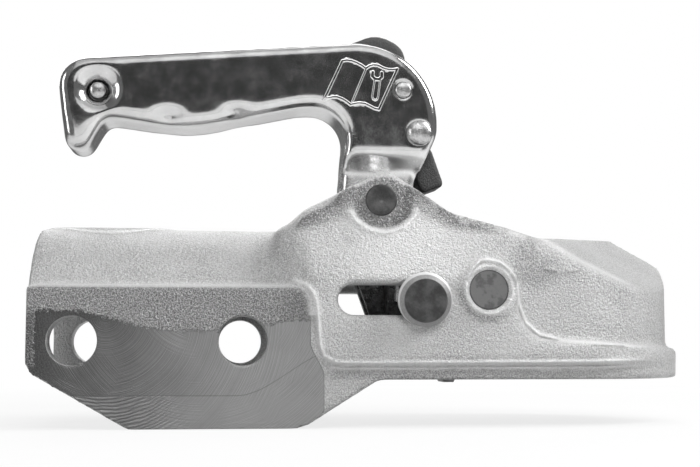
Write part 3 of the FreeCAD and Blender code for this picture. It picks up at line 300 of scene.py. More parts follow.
def spot_mask(finish):
    """The rough ear face above the ridge round the lever's pin, and along the ear's upper edges."""
    x, z = finish.x, finish.z
    inside = 1 - finish.radius(*SPOT_CENTRE).rise(SPOT_REACH - 2.5 * MM, SPOT_REACH - 0.5 * MM)
    up_the_slope = z + (x - SPOT_CENTRE[0]).absolute() * EAR_SLOPE
    strip = up_the_slope.rise(*EAR_STRIP) * finish.noise(7 * MM).rise(0.1, 0.5)
    return inside.most(strip * 0.9) * z.rise(*SPOT_FOOT) * finish.y.absolute().rise(*EAR_FACE)


def painted_shade_mask(finish):
    """Painted shade: under the jaw pin's boss, in the pocket's corner and along the foot."""
    x, z = finish.x, finish.z
    reach = finish.radius(*JAW_PIN)
    ring = reach.rise(7.2 * MM, 8 * MM) * (1 - reach.rise(9 * MM, 12 * MM))
    crescent = ring * (SHADE_EDGE - z - x * SHADE_SLANT).rise(-4 * MM, 4 * MM)
    pocket = 1 - finish.radius(*POCKET_CORNER).rise(5 * MM, 12 * MM)
    low, high = FOOT_BAND
    foot = z.rise(low, low + 0.6 * MM) * (1 - z.rise(high - 0.8 * MM, high))
    foot = foot * x.rise(*FOOT_START) * (1 - x.rise(*FOOT_END))
    return crescent.most(pocket * 0.6).most(foot * 0.45) * finish.y.absolute().rise(*OUTER_WALLS)


def gate_reach(finish):
    """1 on the outline of the lens on top of the saddle, where the metal ran in, and less inside."""
    along = (finish.x - GATE_MIDDLE) / GATE_HALF_LENGTH
    return along * along + (finish.y / GATE_HALF_WIDTH).absolute()


def gate_mask(finish):
    return (1 - gate_reach(finish).rise(0.96, 1.02)) * finish.z.rise(*GATE_LEVEL)


# A painted highlight along the lens's outline.
def gate_rim_highlight(finish):
    reach = gate_reach(finish)
    return reach.rise(0.93, 1.0) * (1 - reach.rise(1.06, 1.16)) * finish.z.rise(*GATE_LEVEL)


print("ear face round", SPOT_CENTRE, "and lens", 2 * GATE_HALF_LENGTH, "m long")

# %% [markdown]
# The colours are layers of grey. A pool of painted light makes the plain skin palest in the middle of
# the panel. Rough sand lies on the pads and ears, with sparkles where a crystal of zinc catches the light.

# %% Colours of the cast skin
PANEL_MIDDLE = (84 * MM, 32 * MM)
PANEL_GLOW = (6 * MM, 34 * MM)
SKIN = (0.34, 0.59)
COARSE = (0.15, 0.42)
# Greys of the painted shade.
SHADE_GREYS = (0.11, 0.42)
# Greys of the painted highlight on beads and edges.
HIGHLIGHT_GREYS = (0.70, 0.86)
WORN = (0.05, 0.22)
WORN_BELOW = (7 * MM, 12 * MM)


def skin_colour(finish, speck):
    """Plain cast skin, with painted light pooled in the panel's middle, soft clouds and a few dark pits.
    """
    cloud = finish.noise(16 * MM, detail=3.0).rise(0.35, 0.7)
    pits = finish.noise(0.9 * MM, detail=1.0).rise(0.66, 0.74)
    # Painted light, pooled in the middle of the panel.
    middle = 1 - finish.radius(*PANEL_MIDDLE).rise(*PANEL_GLOW)
    base = finish.grey(speck.rise(0.36, 0.64), *SKIN)
    base = finish.blend(middle * 0.6, base, grey_tint(0.70))
    base = finish.blend(cloud * 0.4, base, grey_tint(0.58))
    return finish.blend(pits * 0.4, base, grey_tint(0.24))


def coarse_colour(finish, speck, sand, pad):
    """Sandy skin with sparkles, worn dark on the strip behind the milled part."""
    sparkle = finish.noise(0.7 * MM, detail=1.0).rise(0.6, 0.72)
    coarse = finish.grey(sand.rise(0.4, 0.6), *COARSE)
    coarse = finish.blend(sparkle * 0.8, coarse, grey_tint(0.62))
    strip = 1 - finish.x.rise(-REAR_STRIP, 1 * MM - REAR_STRIP)
    worn = strip * (1 - finish.z.rise(*WORN_BELOW)) * pad
    return finish.blend(worn * 0.85, coarse, finish.grey(speck.rise(0.4, 0.62), *WORN))


print("skin greys from", SKIN[0], "to", SKIN[1])

# %% [markdown]
# Two cutters went over each pad, and each left its own set of arcs. Towards the rear the cut is darker.
# Below a fine step, the small cutter chattered and left ripples.

# %% Colours of the milled part
WIDE_CUTTER = (14 * MM, 17 * MM)
SMALL_CUTTER = (-17 * MM, 8 * MM)
LINES_PER_METRE = 3200.0
CUT_DARK = (0.035, 0.10)
CUT_LIT = (0.25, 0.37)
LIT_ALONG = (-34 * MM, 36 * MM)
REAR_GREYS = (0.035, 0.09)
DARK_REAR = (-40 * MM, -26 * MM)
DARK_START = (-44 * MM, -39 * MM)
DARK_END = (-30 * MM, 4 * MM)
CUTTER_STEP = -18 * MM
STEP_START = (-26 * MM, -24 * MM)
STEP_BEND = 15 * MM
STEP_BEND_ALONG = (26 * MM, 60 * MM)
RIPPLE_LENGTH = 1.15 * MM
RIPPLE_SWAY = 2.2 * MM
RIPPLE_END = (-12 * MM, 14 * MM)


def cutter_arcs(finish, centre):
    """Fine arcs of uneven strength round the cutter's centre."""
    sockets = {"W": finish.radius(*centre), "Scale": LINES_PER_METRE, "Detail": 3.0}
    return finish.node("ShaderNodeTexNoise", {"noise_dimensions": "1D"}, sockets).rise(0.3, 0.75)


def milled_finish(finish, speck):
    """The milled part's colour and height."""
    x, z = finish.x, finish.z
    share = finish.noise(22 * MM, detail=2.0).rise(0.42, 0.58)
    mark = cutter_arcs(finish, WIDE_CUTTER) * share + cutter_arcs(finish, SMALL_CUTTER) * (1 - share)
    lit = x.rise(*LIT_ALONG) * 0.75 + finish.noise(9 * MM, detail=4.0) * 0.3
    cut = finish.blend(lit, finish.grey(mark, *CUT_DARK), finish.grey(mark, *CUT_LIT))

    upper = 1 - (pad_edge(finish) - z).rise(0, 9 * MM)
    # Darker towards the rear of the cut.
    darker_rear = x.rise(*DARK_START) * (1 - x.rise(*DARK_END)) * upper
    darker_rear = darker_rear.most(1 - x.rise(*DARK_REAR))
    cut = finish.blend(darker_rear * 0.75, cut, finish.grey(speck.rise(0.4, 0.62), *REAR_GREYS))

    low = (CUTTER_STEP - z).rise(0, 0.4 * MM)
    cut = finish.blend(low * 0.4, cut, grey_tint(0.28))
    sway = finish.radius(*SMALL_CUTTER) + finish.noise(8 * MM) * RIPPLE_SWAY
    ripples = sway.wave(RIPPLE_LENGTH) * low * (1 - x.rise(*RIPPLE_END))
    cut = finish.blend(ripples * 0.55, cut, grey_tint(0.09))
    bend = x.rise(*STEP_BEND_ALONG) * STEP_BEND
    step_line = 1 - (z - CUTTER_STEP - bend).absolute().rise(0, 0.3 * MM)
    cut = finish.blend(step_line * x.rise(*STEP_START) * 0.5, cut, grey_tint(0.08))
    return cut, mark * 0.05 + ripples * 0.3


print("cutter centres", WIDE_CUTTER, "and", SMALL_CUTTER)

# %% [markdown]
# Put together, each layer covers the one before by its own mask. The grain is a bump, and stops where
# the cutter has been. A layer on the mesh says where a highlight is painted on the beads and edges.

# %% Casting
GRAIN_HEIGHT = 1.0 * MM


def make_casting():
    finish = Finish("zinc_casting")
    speck = finish.noise(0.5 * MM, detail=2.0, roughness=0.6)
    crust = finish.noise(0.8 * MM, detail=2.0, roughness=0.6)
    sand = speck * 0.7 + crust * 0.3
    pad, milled = pad_masks(finish)
    spot = spot_mask(finish)
    rough = (pad * (1 - milled)).most(spot).most(gate_mask(finish) * 0.8)
    painted_highlight = finish.layer("painted_highlight").most(gate_rim_highlight(finish) * 0.9)

    base = finish.blend(rough, skin_colour(finish, speck), coarse_colour(finish, speck, sand, pad))
    # Painted shade under the jaw pin's boss, in the pocket's corner and along the foot.
    base = finish.blend(painted_shade_mask(finish) * 0.85, base, finish.grey(sand.rise(0.4, 0.62), *SHADE_GREYS))
    # Painted highlight: paler grey on the beads, the crisp edges and the lens's outline.
    base = finish.blend(painted_highlight * 0.9, base, finish.grey(speck, *HIGHLIGHT_GREYS))
    base = finish.blend(spot * crust.rise(0.45, 0.58) * 0.62, base, grey_tint(0.06))
    cut, cut_height = milled_finish(finish, speck)
    base = finish.blend(milled, base, cut)

    grain = finish.noise(1.1 * MM, detail=3.0, roughness=0.7)
    cast_height = grain + speck * 0.5 + rough * sand * 1.2
    height = cast_height * (1 - milled) + cut_height * milled
    finish.feed(
        base_color=base,
        metallic=0.6,
        roughness=0.38 + speck * 0.12 - milled * 0.04 - painted_highlight * 0.08,
        normal=finish.bump(height, GRAIN_HEIGHT),
    )
    return finish.material


casting_finish = make_casting()
print("casting finish of", len(casting_finish.node_tree.nodes), "nodes")

# %% [markdown]
# ## Chrome
#
# Chrome is a mirror with a thin grey haze. On a pressed lever it isn't perfect: the sheet's grain shows
# as faint streaks and tiny specks, and the neck is duller where the sheet was drawn in, with a painted
# sheen that makes its colour paler. The raised sign's flanks get a painted highlight. What makes chrome
# read as chrome is what it reflects, so the studio has a dark card in front, a pale one below it and a
# grey one above.

# %% Chrome
DRAWN_NECK = (62 * MM, 67 * MM)
CHROME = (0.58, 0.80)


def make_chrome():
    finish = Finish("chrome_sheet")
    haze = finish.noise(7 * MM, detail=5.0, roughness=0.65)
    fine = finish.noise(0.45 * MM, detail=2.0, roughness=0.7)
    dust = finish.noise(0.45 * MM, detail=1.0).rise(0.66, 0.76)
    drawn_and_sheen = 1 - finish.z.rise(*DRAWN_NECK)
    sign_flank_highlight = finish.layer("sign_flank_highlight")
    tone = finish.grey(haze.rise(0.3, 0.75) * 0.6 + fine * 0.4, *CHROME)
    # Painted sheen: the drawn neck's colour is paler. It is also rougher.
    tone = finish.blend(drawn_and_sheen * 0.6, tone, grey_tint(0.88))
    worn = haze.rise(0.35, 0.7) * 0.06 + fine.rise(0.45, 0.75) * 0.06 + dust * 0.07
    # Painted highlight on the sign's flanks: near white and rougher. Dust specks are paler too.
    finish.feed(
        base_color=finish.blend((dust * 0.2).most(sign_flank_highlight), tone, grey_tint(0.97)),
        metallic=1.0,
        roughness=worn + drawn_and_sheen * 0.12 + sign_flank_highlight * 0.4 + 0.10,
        normal=finish.bump(haze * 0.35 + fine * 0.06, 0.05 * MM),
    )
    return finish.material


chrome_finish = make_chrome()
print("chrome finish of", len(chrome_finish.node_tree.nodes), "nodes")

# %% [markdown]
# ## Dark steel, springs, rivets and plastic
#
# The pins are phosphated: a matt dark coat with paler rubbed patches. The fork and the wedges have the
# same coat, a little glossier.

# %% Dark steel
HEAD_CENTRE = (88.5 * MM, 13.3 * MM)
HEAD_FACE = 7.3 * MM
HEAD_HIGHLIGHT_RIM = (8.6 * MM, 8.9 * MM)
HEAD_EDGE = (10 * MM, 10.5 * MM)
HEAD_LEVEL = (40 * MM, 42 * MM)
JAW_PIN_EDGE = (8 * MM, 9 * MM)


def mark_pin_ends(finish, tone, fine):
    """Pales the sliding pin's bevel, paints a highlight on its rim and takes part of the jaw pin's coat
    off.
    """
    reach = finish.radius(*HEAD_CENTRE)
    bevel = reach.rise(HEAD_FACE - 0.2 * MM, HEAD_FACE + 0.2 * MM) * (1 - reach.rise(*HEAD_EDGE))
    bevel = bevel * (finish.y * -1).rise(*HEAD_LEVEL)
    tone = finish.blend(bevel, tone, finish.grey(fine, 0.17, 0.28))
    # Painted highlight on the head's outer rim.
    tone = finish.blend(bevel * reach.rise(*HEAD_HIGHLIGHT_RIM), tone, grey_tint(0.5))
    blotch = finish.noise(4 * MM, detail=4.0, roughness=0.6).rise(0.36, 0.5)
    on_pin = 1 - finish.radius(*JAW_PIN).rise(*JAW_PIN_EDGE)
    return finish.blend(on_pin, tone, finish.grey(blotch, 0.11, 0.17))


def make_phosphate(name, low, high, roughness, marked_ends=False, lumps=0.15):
    finish = Finish(name)
    patch = finish.noise(5 * MM, detail=4.0, roughness=0.6)
    fine = finish.noise(0.6 * MM, detail=2.0)
    tone = finish.grey(patch.rise(0.35, 0.7) * 0.8 + fine * 0.2, low, high)
    if marked_ends:
        tone = mark_pin_ends(finish, tone, fine)
    finish.feed(
        base_color=tone,
        metallic=0.6,
        roughness=roughness + patch * 0.15,
        normal=finish.bump(fine * 0.5 + patch, lumps * MM),
    )
    return finish.material


print("sliding pin's head at", HEAD_CENTRE)

# %% [markdown]
# Springs are drawn wire, and the small rivets are polished. The catch is moulded in black plastic with a
# fine grain. Each node of the CAD then gets the finish that its record asks for.

# %% Springs, rivets and plastic
def make_wire_steel(name, low, high, roughness):
    finish = Finish(name)
    streak = finish.noise(0.8 * MM, detail=3.0)
    finish.feed(
        base_color=finish.grey(streak.rise(0.3, 0.7), low, high),
        metallic=1.0,
        roughness=roughness + streak * 0.1,
        normal=finish.bump(streak, 0.05 * MM),
    )
    return finish.material


def make_plastic():
    finish = Finish("black_plastic")
    grain = finish.noise(0.5 * MM, detail=2.0)
    cloud = finish.noise(6 * MM, detail=3.0)
    finish.feed(
        base_color=finish.grey(cloud * 0.4 + grain.rise(0.35, 0.7) * 0.6, 0.014, 0.06),
        roughness=0.38 + grain * 0.25,
        normal=finish.bump(grain, 0.3 * MM),
    )
    return finish.material


finishes = {
    "zinc_casting": casting_finish,
    "chrome_sheet": chrome_finish,
    "dark_steel": make_phosphate("dark_steel", 0.05, 0.16, 0.20, lumps=1.2),
    "dark_pin": make_phosphate("dark_pin", 0.035, 0.10, 0.45, marked_ends=True),
    "jaw_steel": make_phosphate("jaw_steel", 0.16, 0.30, 0.35),
    "zinc_steel": make_wire_steel("zinc_steel", 0.5, 0.65, 0.25),
    "rivet_steel": make_wire_steel("rivet_steel", 0.45, 0.62, 0.24),
    "spring_steel": make_wire_steel("spring_steel", 0.40, 0.60, 0.22),
    "black_plastic": make_plastic(),
}
slot_of = {part["node"]: part["material_slot"] for part in frame["record"]["subparts"]}
for name, node in nodes.items():
    node.data.materials.clear()
    node.data.materials.append(finishes[slot_of[name]])
print(len(finishes), "finishes on", len(nodes), "nodes")

# %% [markdown]
# ## Tools for shaping
#
# Edit mode works on what is selected, so two helpers keep order: one makes an object the only selected
# one, the other selects some of its vertices. The rest read and move vertices, smooth some of them and
# apply a modifier.

# %% Selecting and smoothing
SMOOTHING = 0.5


def only(piece):
    bpy.ops.object.select_all(action="DESELECT")
    piece.select_set(True)
    bpy.context.view_layer.objects.active = piece


def places(piece):
    """The vertices' places as an array of rows."""
    spots = np.empty(len(piece.data.vertices) * 3)
    piece.data.vertices.foreach_get("co", spots)
    return spots.reshape(-1, 3)


def move_to(piece, spots):
    piece.data.vertices.foreach_set("co", spots.ravel())
    piece.data.update()


def select_vertices(piece, chosen):
    """Selects the chosen vertices, a row of true and false."""
    only(piece)
    bpy.ops.object.mode_set(mode="EDIT")
    bpy.ops.mesh.select_mode(type="VERT")
    bpy.ops.mesh.select_all(action="DESELECT")
    bpy.ops.object.mode_set(mode="OBJECT")
    piece.data.vertices.foreach_set("select", np.asarray(chosen, bool))


def smooth_where(piece, chosen, passes):
    select_vertices(piece, chosen)
    bpy.ops.object.mode_set(mode="EDIT")
    bpy.ops.mesh.vertices_smooth(factor=SMOOTHING, repeat=passes)
    bpy.ops.object.mode_set(mode="OBJECT")


def apply_modifier(piece, kind, **settings):
    only(piece)
    made = piece.modifiers.new(kind.lower(), kind)
    for key, value in settings.items():
        setattr(made, key, value)
    bpy.ops.object.modifier_apply(modifier=made.name)


print("each smoothing pass moves a vertex", SMOOTHING, "of the way")

# %% [markdown]
# More helpers make pieces. One turns a profile round an axis across the head, for the plugs and cutters
# of the casting's holes. The others copy a node's mesh, join pieces and cut one out of another.

# %% Turning, copying, joining and cutting
LATHE_STEPS = 64
MERGE = 1e-6


def lathe(name, profile, x, z):
    """Spins a profile of (radius, Y) points round a line across the head at X and Z, in millimetres."""
    points = [(radius * MM, y * MM, 0) for radius, y in profile]
    mesh = bpy.data.meshes.new(name)
    mesh.from_pydata(points, [(i, i + 1) for i in range(len(points) - 1)], [])
    piece = bpy.data.objects.new(name, mesh)
    bpy.context.scene.collection.objects.link(piece)
    only(piece)
    bpy.ops.object.mode_set(mode="EDIT")
    bpy.ops.mesh.select_all(action="SELECT")
    bpy.ops.mesh.spin(steps=LATHE_STEPS, angle=2 * math.pi, center=(0, 0, 0), axis=(0, 1, 0))
    bpy.ops.mesh.select_all(action="SELECT")
    bpy.ops.mesh.remove_doubles(threshold=MERGE)
    bpy.ops.mesh.normals_make_consistent(inside=False)
    bpy.ops.transform.translate(value=(x * MM, 0, z * MM))
    bpy.ops.object.mode_set(mode="OBJECT")
    return piece


def copy_of(node_name, name):
    """A merged copy of a CAD node's mesh, as a piece of its own."""
    piece = nodes[node_name].copy()
    piece.data = nodes[node_name].data.copy()
    piece.name = name
    piece.parent = None
    for key in list(piece.keys()):
        del piece[key]
    bpy.context.scene.collection.objects.link(piece)
    only(piece)
    bpy.ops.object.mode_set(mode="EDIT")
    bpy.ops.mesh.select_all(action="SELECT")
    bpy.ops.mesh.remove_doubles(threshold=MERGE)
    bpy.ops.object.mode_set(mode="OBJECT")
    return piece


def join(pieces):
    only(pieces[0])
    for piece in pieces[1:]:
        piece.select_set(True)
    bpy.ops.object.join()
    return pieces[0]


def cut_away(piece, cutter):
    """Takes the cutter out of the piece, then deletes it."""
    apply_modifier(piece, "BOOLEAN", operation="DIFFERENCE", solver="EXACT", object=cutter)
    bpy.data.objects.remove(cutter)


def say_triangles(piece):
    print(piece.name, sum(len(face.vertices) - 2 for face in piece.data.polygons), "triangles")


print("turned pieces have", LATHE_STEPS, "sides")

# %% [markdown]
# ## The casting
#
# A casting has no sharp edges: sand can't hold them. The CAD's edges are crisp, so its holes are first
# plugged, then the whole is remeshed in small voxels and smoothed, most where the saddle runs up
# into the body. The drilled holes are cut again afterwards, because a drill does leave sharp rims.

# %% Plugs and cutters for the holes
HOLES = {
    "rear_bolt": (-28, 0, 8.25),
    "front_bolt": (28, 0, 8.25),
    "pivot": (74.6, 47.8, 5.43),
    "jaw": (110.6, 17.2, 6.75),
}
BOLT_WALL = (30.6, 39.8)
PIN_WALLS = {"pivot": (27.5, 37.0), "jaw": (31.5, 42)}
PLUG_OVER = 0.5
BOLT_FACE = 40
BOLT_CHAMFER = 0.35
CUTTER_END = 60


def hole_cutter(name):
    """A straight drill for a pin's hole, and one with a chamfer at both faces for a bolt's."""
    x, z, radius = HOLES[name]
    if name in PIN_WALLS:
        profile = [(0, -CUTTER_END), (radius, -CUTTER_END), (radius, CUTTER_END), (0, CUTTER_END)]
    else:
        wide = radius + 1 + BOLT_CHAMFER
        past = BOLT_FACE + 1
        neck = BOLT_FACE - BOLT_CHAMFER
        profile = [(0, -past), (wide, -past), (radius, -neck), (radius, neck), (wide, past), (0, past)]
    return lathe(name + "_cutter", profile, x, z)


def plug(name, sign):
    """A disc a little wider than the hole, inside the wall on one side."""
    x, z, radius = HOLES[name]
    inner, outer = PIN_WALLS.get(name, BOLT_WALL)
    wide = radius + PLUG_OVER
    profile = [(0, sign * inner), (wide, sign * inner), (wide, sign * outer), (0, sign * outer)]
    return lathe("%s_plug_%d" % (name, sign), profile, x, z)


print(len(HOLES), "holes")

# %% [markdown]
# The mould leaves beads along the panel's edges. Every path below is a list of (X, Z) points in
# millimetres.

# %% Ridge paths
REAR_AND_FOOT = [
    (45, 20.2), (48.4, 18.9), (50.9, 16.5), (52.4, 12.6), (52.9, 5.3), (53.4, -1.3), (54.8, -5.0),
    (57.7, -7.0), (61.7, -7.4), (114.1, -7.2), (148.5, -7.0), (170, -6.2),
]
UNDER_FOOT = [(57.4, -8.6), (61.7, -9.1), (114.1, -8.9), (148.5, -8.7), (170, -8.2)]
POCKET_EDGE = [
    (103.1, 21.2), (104.8, 24.5), (107.2, 26.9), (110, 27.5), (114.4, 26.6), (118.2, 24), (120.6, 19.6),
    (121.5, 12.8), (123.8, 6.4), (128.3, 2.4), (135.8, 0.3), (148.5, -0.7), (170, -2.5),
]
EAR_ARC = [(64, 43.4), (65.2, 41.3), (69.9, 37.8), (76, 36.5), (81.6, 38.3), (85.7, 42.1), (86.5, 44)]
SCRATCH = [(131, 24.6), (136.2, 23.6), (142.5, 24.4)]
BOSS = (110.6, 17.2)
BOSS_RADIUS = 7.9
BOSS_POINTS = 40
DIMPLE = (61.8, 32.7)
DIMPLE_DEPTH = 0.7
DIMPLE_WIDTH = 3.0

def boss_points():
    angles = np.linspace(0, 2 * math.pi, BOSS_POINTS)
    return [(BOSS[0] + BOSS_RADIUS * math.cos(a), BOSS[1] + BOSS_RADIUS * math.sin(a)) for a in angles]


# Each ridge's height, width and path.
RIDGES = [
    (1.1, 0.7, REAR_AND_FOOT),
    (0.8, 0.45, UNDER_FOOT),
    (1.0, 0.6, POCKET_EDGE),
    (0.8, 0.8, EAR_ARC),
    (0.3, 0.5, SCRATCH),
    (0.5, 0.6, boss_points()),
]
print(len(RIDGES), "ridges")

# %% [markdown]
# The beads are raised from the smoothed mesh, whose faces are split finer near them first. They are on
# the two outer side walls only, and fade out at both ends of the body.

# %% Raising the ridges
RIDGE_START = 40
RIDGE_END = 170
RIDGE_FADE = 14
RIDGE_REACH = 1.8
OUTER_SIDE = 30


def fade_at_nose(spots):
    """The ridges run out where the cup's front curves away."""
    return np.clip((RIDGE_END - spots[:, 0]) / RIDGE_FADE, 0, 1)


def distance_to_path(spots, path):
    """How far each (X, Z) spot is from a path of straight pieces."""
    nearest = np.full(len(spots), np.inf)
    for start, end in zip(path, path[1:]):
        start, along = np.array(start), np.array(end) - np.array(start)
        share = np.clip((spots - start) @ along / (along @ along), 0, 1)
        nearest = np.minimum(nearest, np.linalg.norm(spots - start - share[:, None] * along, axis=1))
    return nearest


def on_outside(spots):
    """Which vertices are on the casting's two outer side walls."""
    return (np.abs(spots[:, 1]) > OUTER_SIDE) & (spots[:, 0] > RIDGE_START)


def refine_near(piece, paths, reach, among, cuts=2):
    """Splits the faces that lie near a path, so that a narrow ridge fits in."""
    spots = places(piece) / MM
    near = np.zeros(len(spots), bool)
    for path in paths:
        near |= distance_to_path(spots[:, [0, 2]], path) < reach
    select_vertices(piece, near & among)
    bpy.ops.object.mode_set(mode="EDIT")
    bpy.ops.mesh.select_mode(type="FACE")
    bpy.ops.mesh.subdivide(number_cuts=cuts)
    bpy.ops.mesh.select_mode(type="VERT")
    bpy.ops.object.mode_set(mode="OBJECT")


def raise_ridges(casting):
    refine_near(casting, [path for _, _, path in RIDGES], RIDGE_REACH, on_outside(places(casting) / MM))
    spots = places(casting)
    flat = spots[:, [0, 2]] / MM
    rise = np.zeros(len(spots))
    for height, width, path in RIDGES:
        rise = np.maximum(rise, height * np.exp(-(distance_to_path(flat, path) / width) ** 2))
    rise -= DIMPLE_DEPTH * np.exp(-(np.linalg.norm(flat - DIMPLE, axis=1) / DIMPLE_WIDTH) ** 2)
    start = np.clip((spots[:, 0] / MM - RIDGE_START) / RIDGE_FADE, 0, 1)
    outside = on_outside(spots / MM) * fade_at_nose(spots / MM) * start
    spots[:, 1] += np.sign(spots[:, 1]) * rise * MM * outside
    move_to(casting, spots)


print("ridges from X", RIDGE_START, "to", RIDGE_END, "mm")

# %% [markdown]
# Beads and crisp edges get a painted highlight, a paler grey in the casting's colour. A layer of numbers
# on the mesh marks them, and the casting's finish reads it.

# %% Painted highlight lines
HIGHLIGHT_WIDER = 1.3
HIGHLIGHT_SIDE = 34
FOOT_LINE = [(57.6, -7.6), (61.7, -8.0), (114.1, -7.9), (148.5, -7.8), (170, -7.0)]
ROOF_EDGE = [(129, 37.2), (138, 31.4), (145, 27.3), (165, 18.6)]
EAR_EDGE = [(47.3, 44.8), (60, 51.2), (72, 57.8), (77, 59), (83, 56.4), (101.5, 42.6), (124, 36)]
PAD_EDGE = [(-46, 18.6), (43.5, 18.6), (47.8, 17.2), (50.0, 13.5), (50.3, 8)]

# Each line's width, strength, least distance from the middle, and path.
HIGHLIGHT_LINES = [(width * HIGHLIGHT_WIDER, 1.0, HIGHLIGHT_SIDE, path) for _, width, path in RIDGES[:4]] + [
    (0.8, 0.85, HIGHLIGHT_SIDE, FOOT_LINE),
    (1.1, 0.8, 26, ROOF_EDGE),
    (1.0, 0.8, 36, EAR_EDGE),
    (0.9, 0.7, HIGHLIGHT_SIDE, PAD_EDGE),
    (1.0, 0.8, HIGHLIGHT_SIDE, boss_points()),
]


def write_layer(piece, name, values):
    """Keeps one number per vertex on the piece, which its finish reads by name."""
    layer = piece.data.attributes.new(name, "FLOAT", "POINT")
    layer.data.foreach_set("value", values)


# Paints highlights along the beads and the crisp edges.
def mark_painted_highlights(casting):
    spots = places(casting) / MM
    painted_highlight = np.zeros(len(spots))
    for width, strength, side, path in HIGHLIGHT_LINES:
        share = strength * np.exp(-(distance_to_path(spots[:, [0, 2]], path) / width) ** 2)
        painted_highlight = np.maximum(painted_highlight, share * (np.abs(spots[:, 1]) > side))
    write_layer(casting, "painted_highlight", painted_highlight * fade_at_nose(spots))


print(len(HIGHLIGHT_LINES), "pale lines")

# %% [markdown]
# Now the casting itself. The milled pads and the drawbar's seat stay flat and true. The ramp behind the
# ears and the roof's front corners are smoothed most.

# %% Soft casting
VOXEL = 1.25 * MM
SKIN_PASSES = 2
RAMP_PASSES = 30
ROOF_PASSES = 14
SEAT_RADIUS = 30.6
CREASE = math.radians(50)


def smooth_casting(casting):
    spots = places(casting) / MM
    x, side, z = spots[:, 0], np.abs(spots[:, 1]), spots[:, 2]
    pad = (side > 39.2) & (x < 55) & (z < 17.6)
    seat = np.hypot(side, z) < SEAT_RADIUS
    ramp = (x > 26) & (x < 60) & (z > 20) & (side < 41) & ~seat
    roof_corner = (x > 120) & (x < 137) & (z > 21) & (side > 24)
    smooth_where(casting, ~pad & ~(seat & (x < 50)), SKIN_PASSES)
    smooth_where(casting, ramp, RAMP_PASSES)
    smooth_where(casting, roof_corner, ROOF_PASSES)


def make_soft_casting():
    casting = copy_of("coupling_housing", "soft_casting")
    join([casting] + [plug(name, sign) for name in HOLES for sign in (-1, 1)])
    apply_modifier(casting, "REMESH", mode="VOXEL", voxel_size=VOXEL)
    smooth_casting(casting)
    raise_ridges(casting)
    for name in HOLES:
        cut_away(casting, hole_cutter(name))
    mark_painted_highlights(casting)
    only(casting)
    bpy.ops.object.shade_smooth_by_angle(angle=CREASE)
    casting.data.materials.clear()
    casting.data.materials.append(finishes["zinc_casting"])
    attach(casting, "housing")
    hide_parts("coupling_housing")
    say_triangles(casting)


make_soft_casting()

# %% [markdown]
# ## The lever
#
# The lever is pressed from sheet, so its edges roll over softly and the dish runs into the panel in one
# curve. Fine voxels and a few smoothing passes give that roll. Two shallow dents along the lower edge
# are where the fingers pull. A small sign for servicing, a book with a spanner, stands raised on the
# near side.

# %% Lever sizes
LEVER_VOXEL = 0.8 * MM
LEVER_PASSES = 8
HOOK_CORNER = (-14 * MM, 76 * MM)
HOOK_PASSES = [(0, 14), (2 * MM, 8), (4 * MM, 5), (6 * MM, 3)]
DENTS = [(1.0, 79.6), (26.0, 81.0)]
DENT_DEPTH = 1.5
DENT_HALF_LENGTH = 4.6
DENT_HALF_HEIGHT = 2.6
DENT_START = 8
DENT_RUN = 4
DENT_LIFT = 0.6
NEAR_PANEL = -12
SIGN_HEIGHT = 0.16
SIGN_FLANK = 0.22
SIGN_REACH = 1.3
SIGN_CUTS = 4
BOOK_EDGE = [
    (63.5, 101.2), (65.2, 101.5), (66.9, 101.3), (68.6, 100.7), (70.4, 99.8), (72.1, 98.6), (73.3, 99.5),
    (74.8, 100.0), (76.6, 99.8), (78.4, 98.9), (80.2, 98.4), (82, 98.4), (83.6, 98.7), (76.8, 83.6),
    (75.2, 84.0), (73.4, 84.9), (71.6, 85.7), (69.8, 85.9), (68.2, 85.7), (66.5, 85.2), (65, 86.4),
    (63.4, 87.3), (61.6, 87.9), (60, 87.9), (58.4, 87.5), (56.9, 86.8), (63.5, 101.2),
]
BOOK_FOLD = [(72.1, 98.4), (67.2, 86.4)]
HANDLE_EDGE = [
    (75.3, 94.6), (74.4, 88.4), (74.7, 87.4), (75.5, 87.0), (76.2, 87.4), (76.5, 88.2), (77.3, 94.5),
]
SPANNER_JAW = [(74.6, 97.3), (74.4, 95.8), (75.4, 94.8), (76.9, 94.7), (77.9, 95.6), (77.9, 97.1)]

# Each line's half width and path.
SIGN = [(0.34, BOOK_EDGE), (0.20, BOOK_FOLD), (0.14, HANDLE_EDGE), (0.50, SPANNER_JAW)]
print(len(DENTS), "dents and", len(SIGN), "lines in the sign")

# %% [markdown]
# Now the lever itself. Its mesh is smoothed all over, then more under the grip's end, where the sheet
# turns into a hook. The dents and the sign come last, so that no smoothing blurs them.

# %% Soft lever
def press_sign(lever):
    """Raises the sign's lines on the near side's panel, each flat on top between two short flanks."""
    on_near_side = places(lever)[:, 1] / MM < NEAR_PANEL
    refine_near(lever, [path for _, path in SIGN], SIGN_REACH, on_near_side, cuts=SIGN_CUTS)
    spots = places(lever)
    rise = np.zeros(len(spots))
    for half_width, path in SIGN:
        inside = (half_width + SIGN_FLANK - distance_to_path(spots[:, [0, 2]] / MM, path)) / SIGN_FLANK
        rise = np.maximum(rise, np.clip(inside, 0, 1))
    rise *= spots[:, 1] < NEAR_PANEL * MM
    spots[:, 1] -= SIGN_HEIGHT * MM * rise
    move_to(lever, spots)
    # Marks the sign's flanks, where the chrome's finish paints a highlight.
    write_layer(lever, "sign_flank_highlight", 4 * rise * (1 - rise))


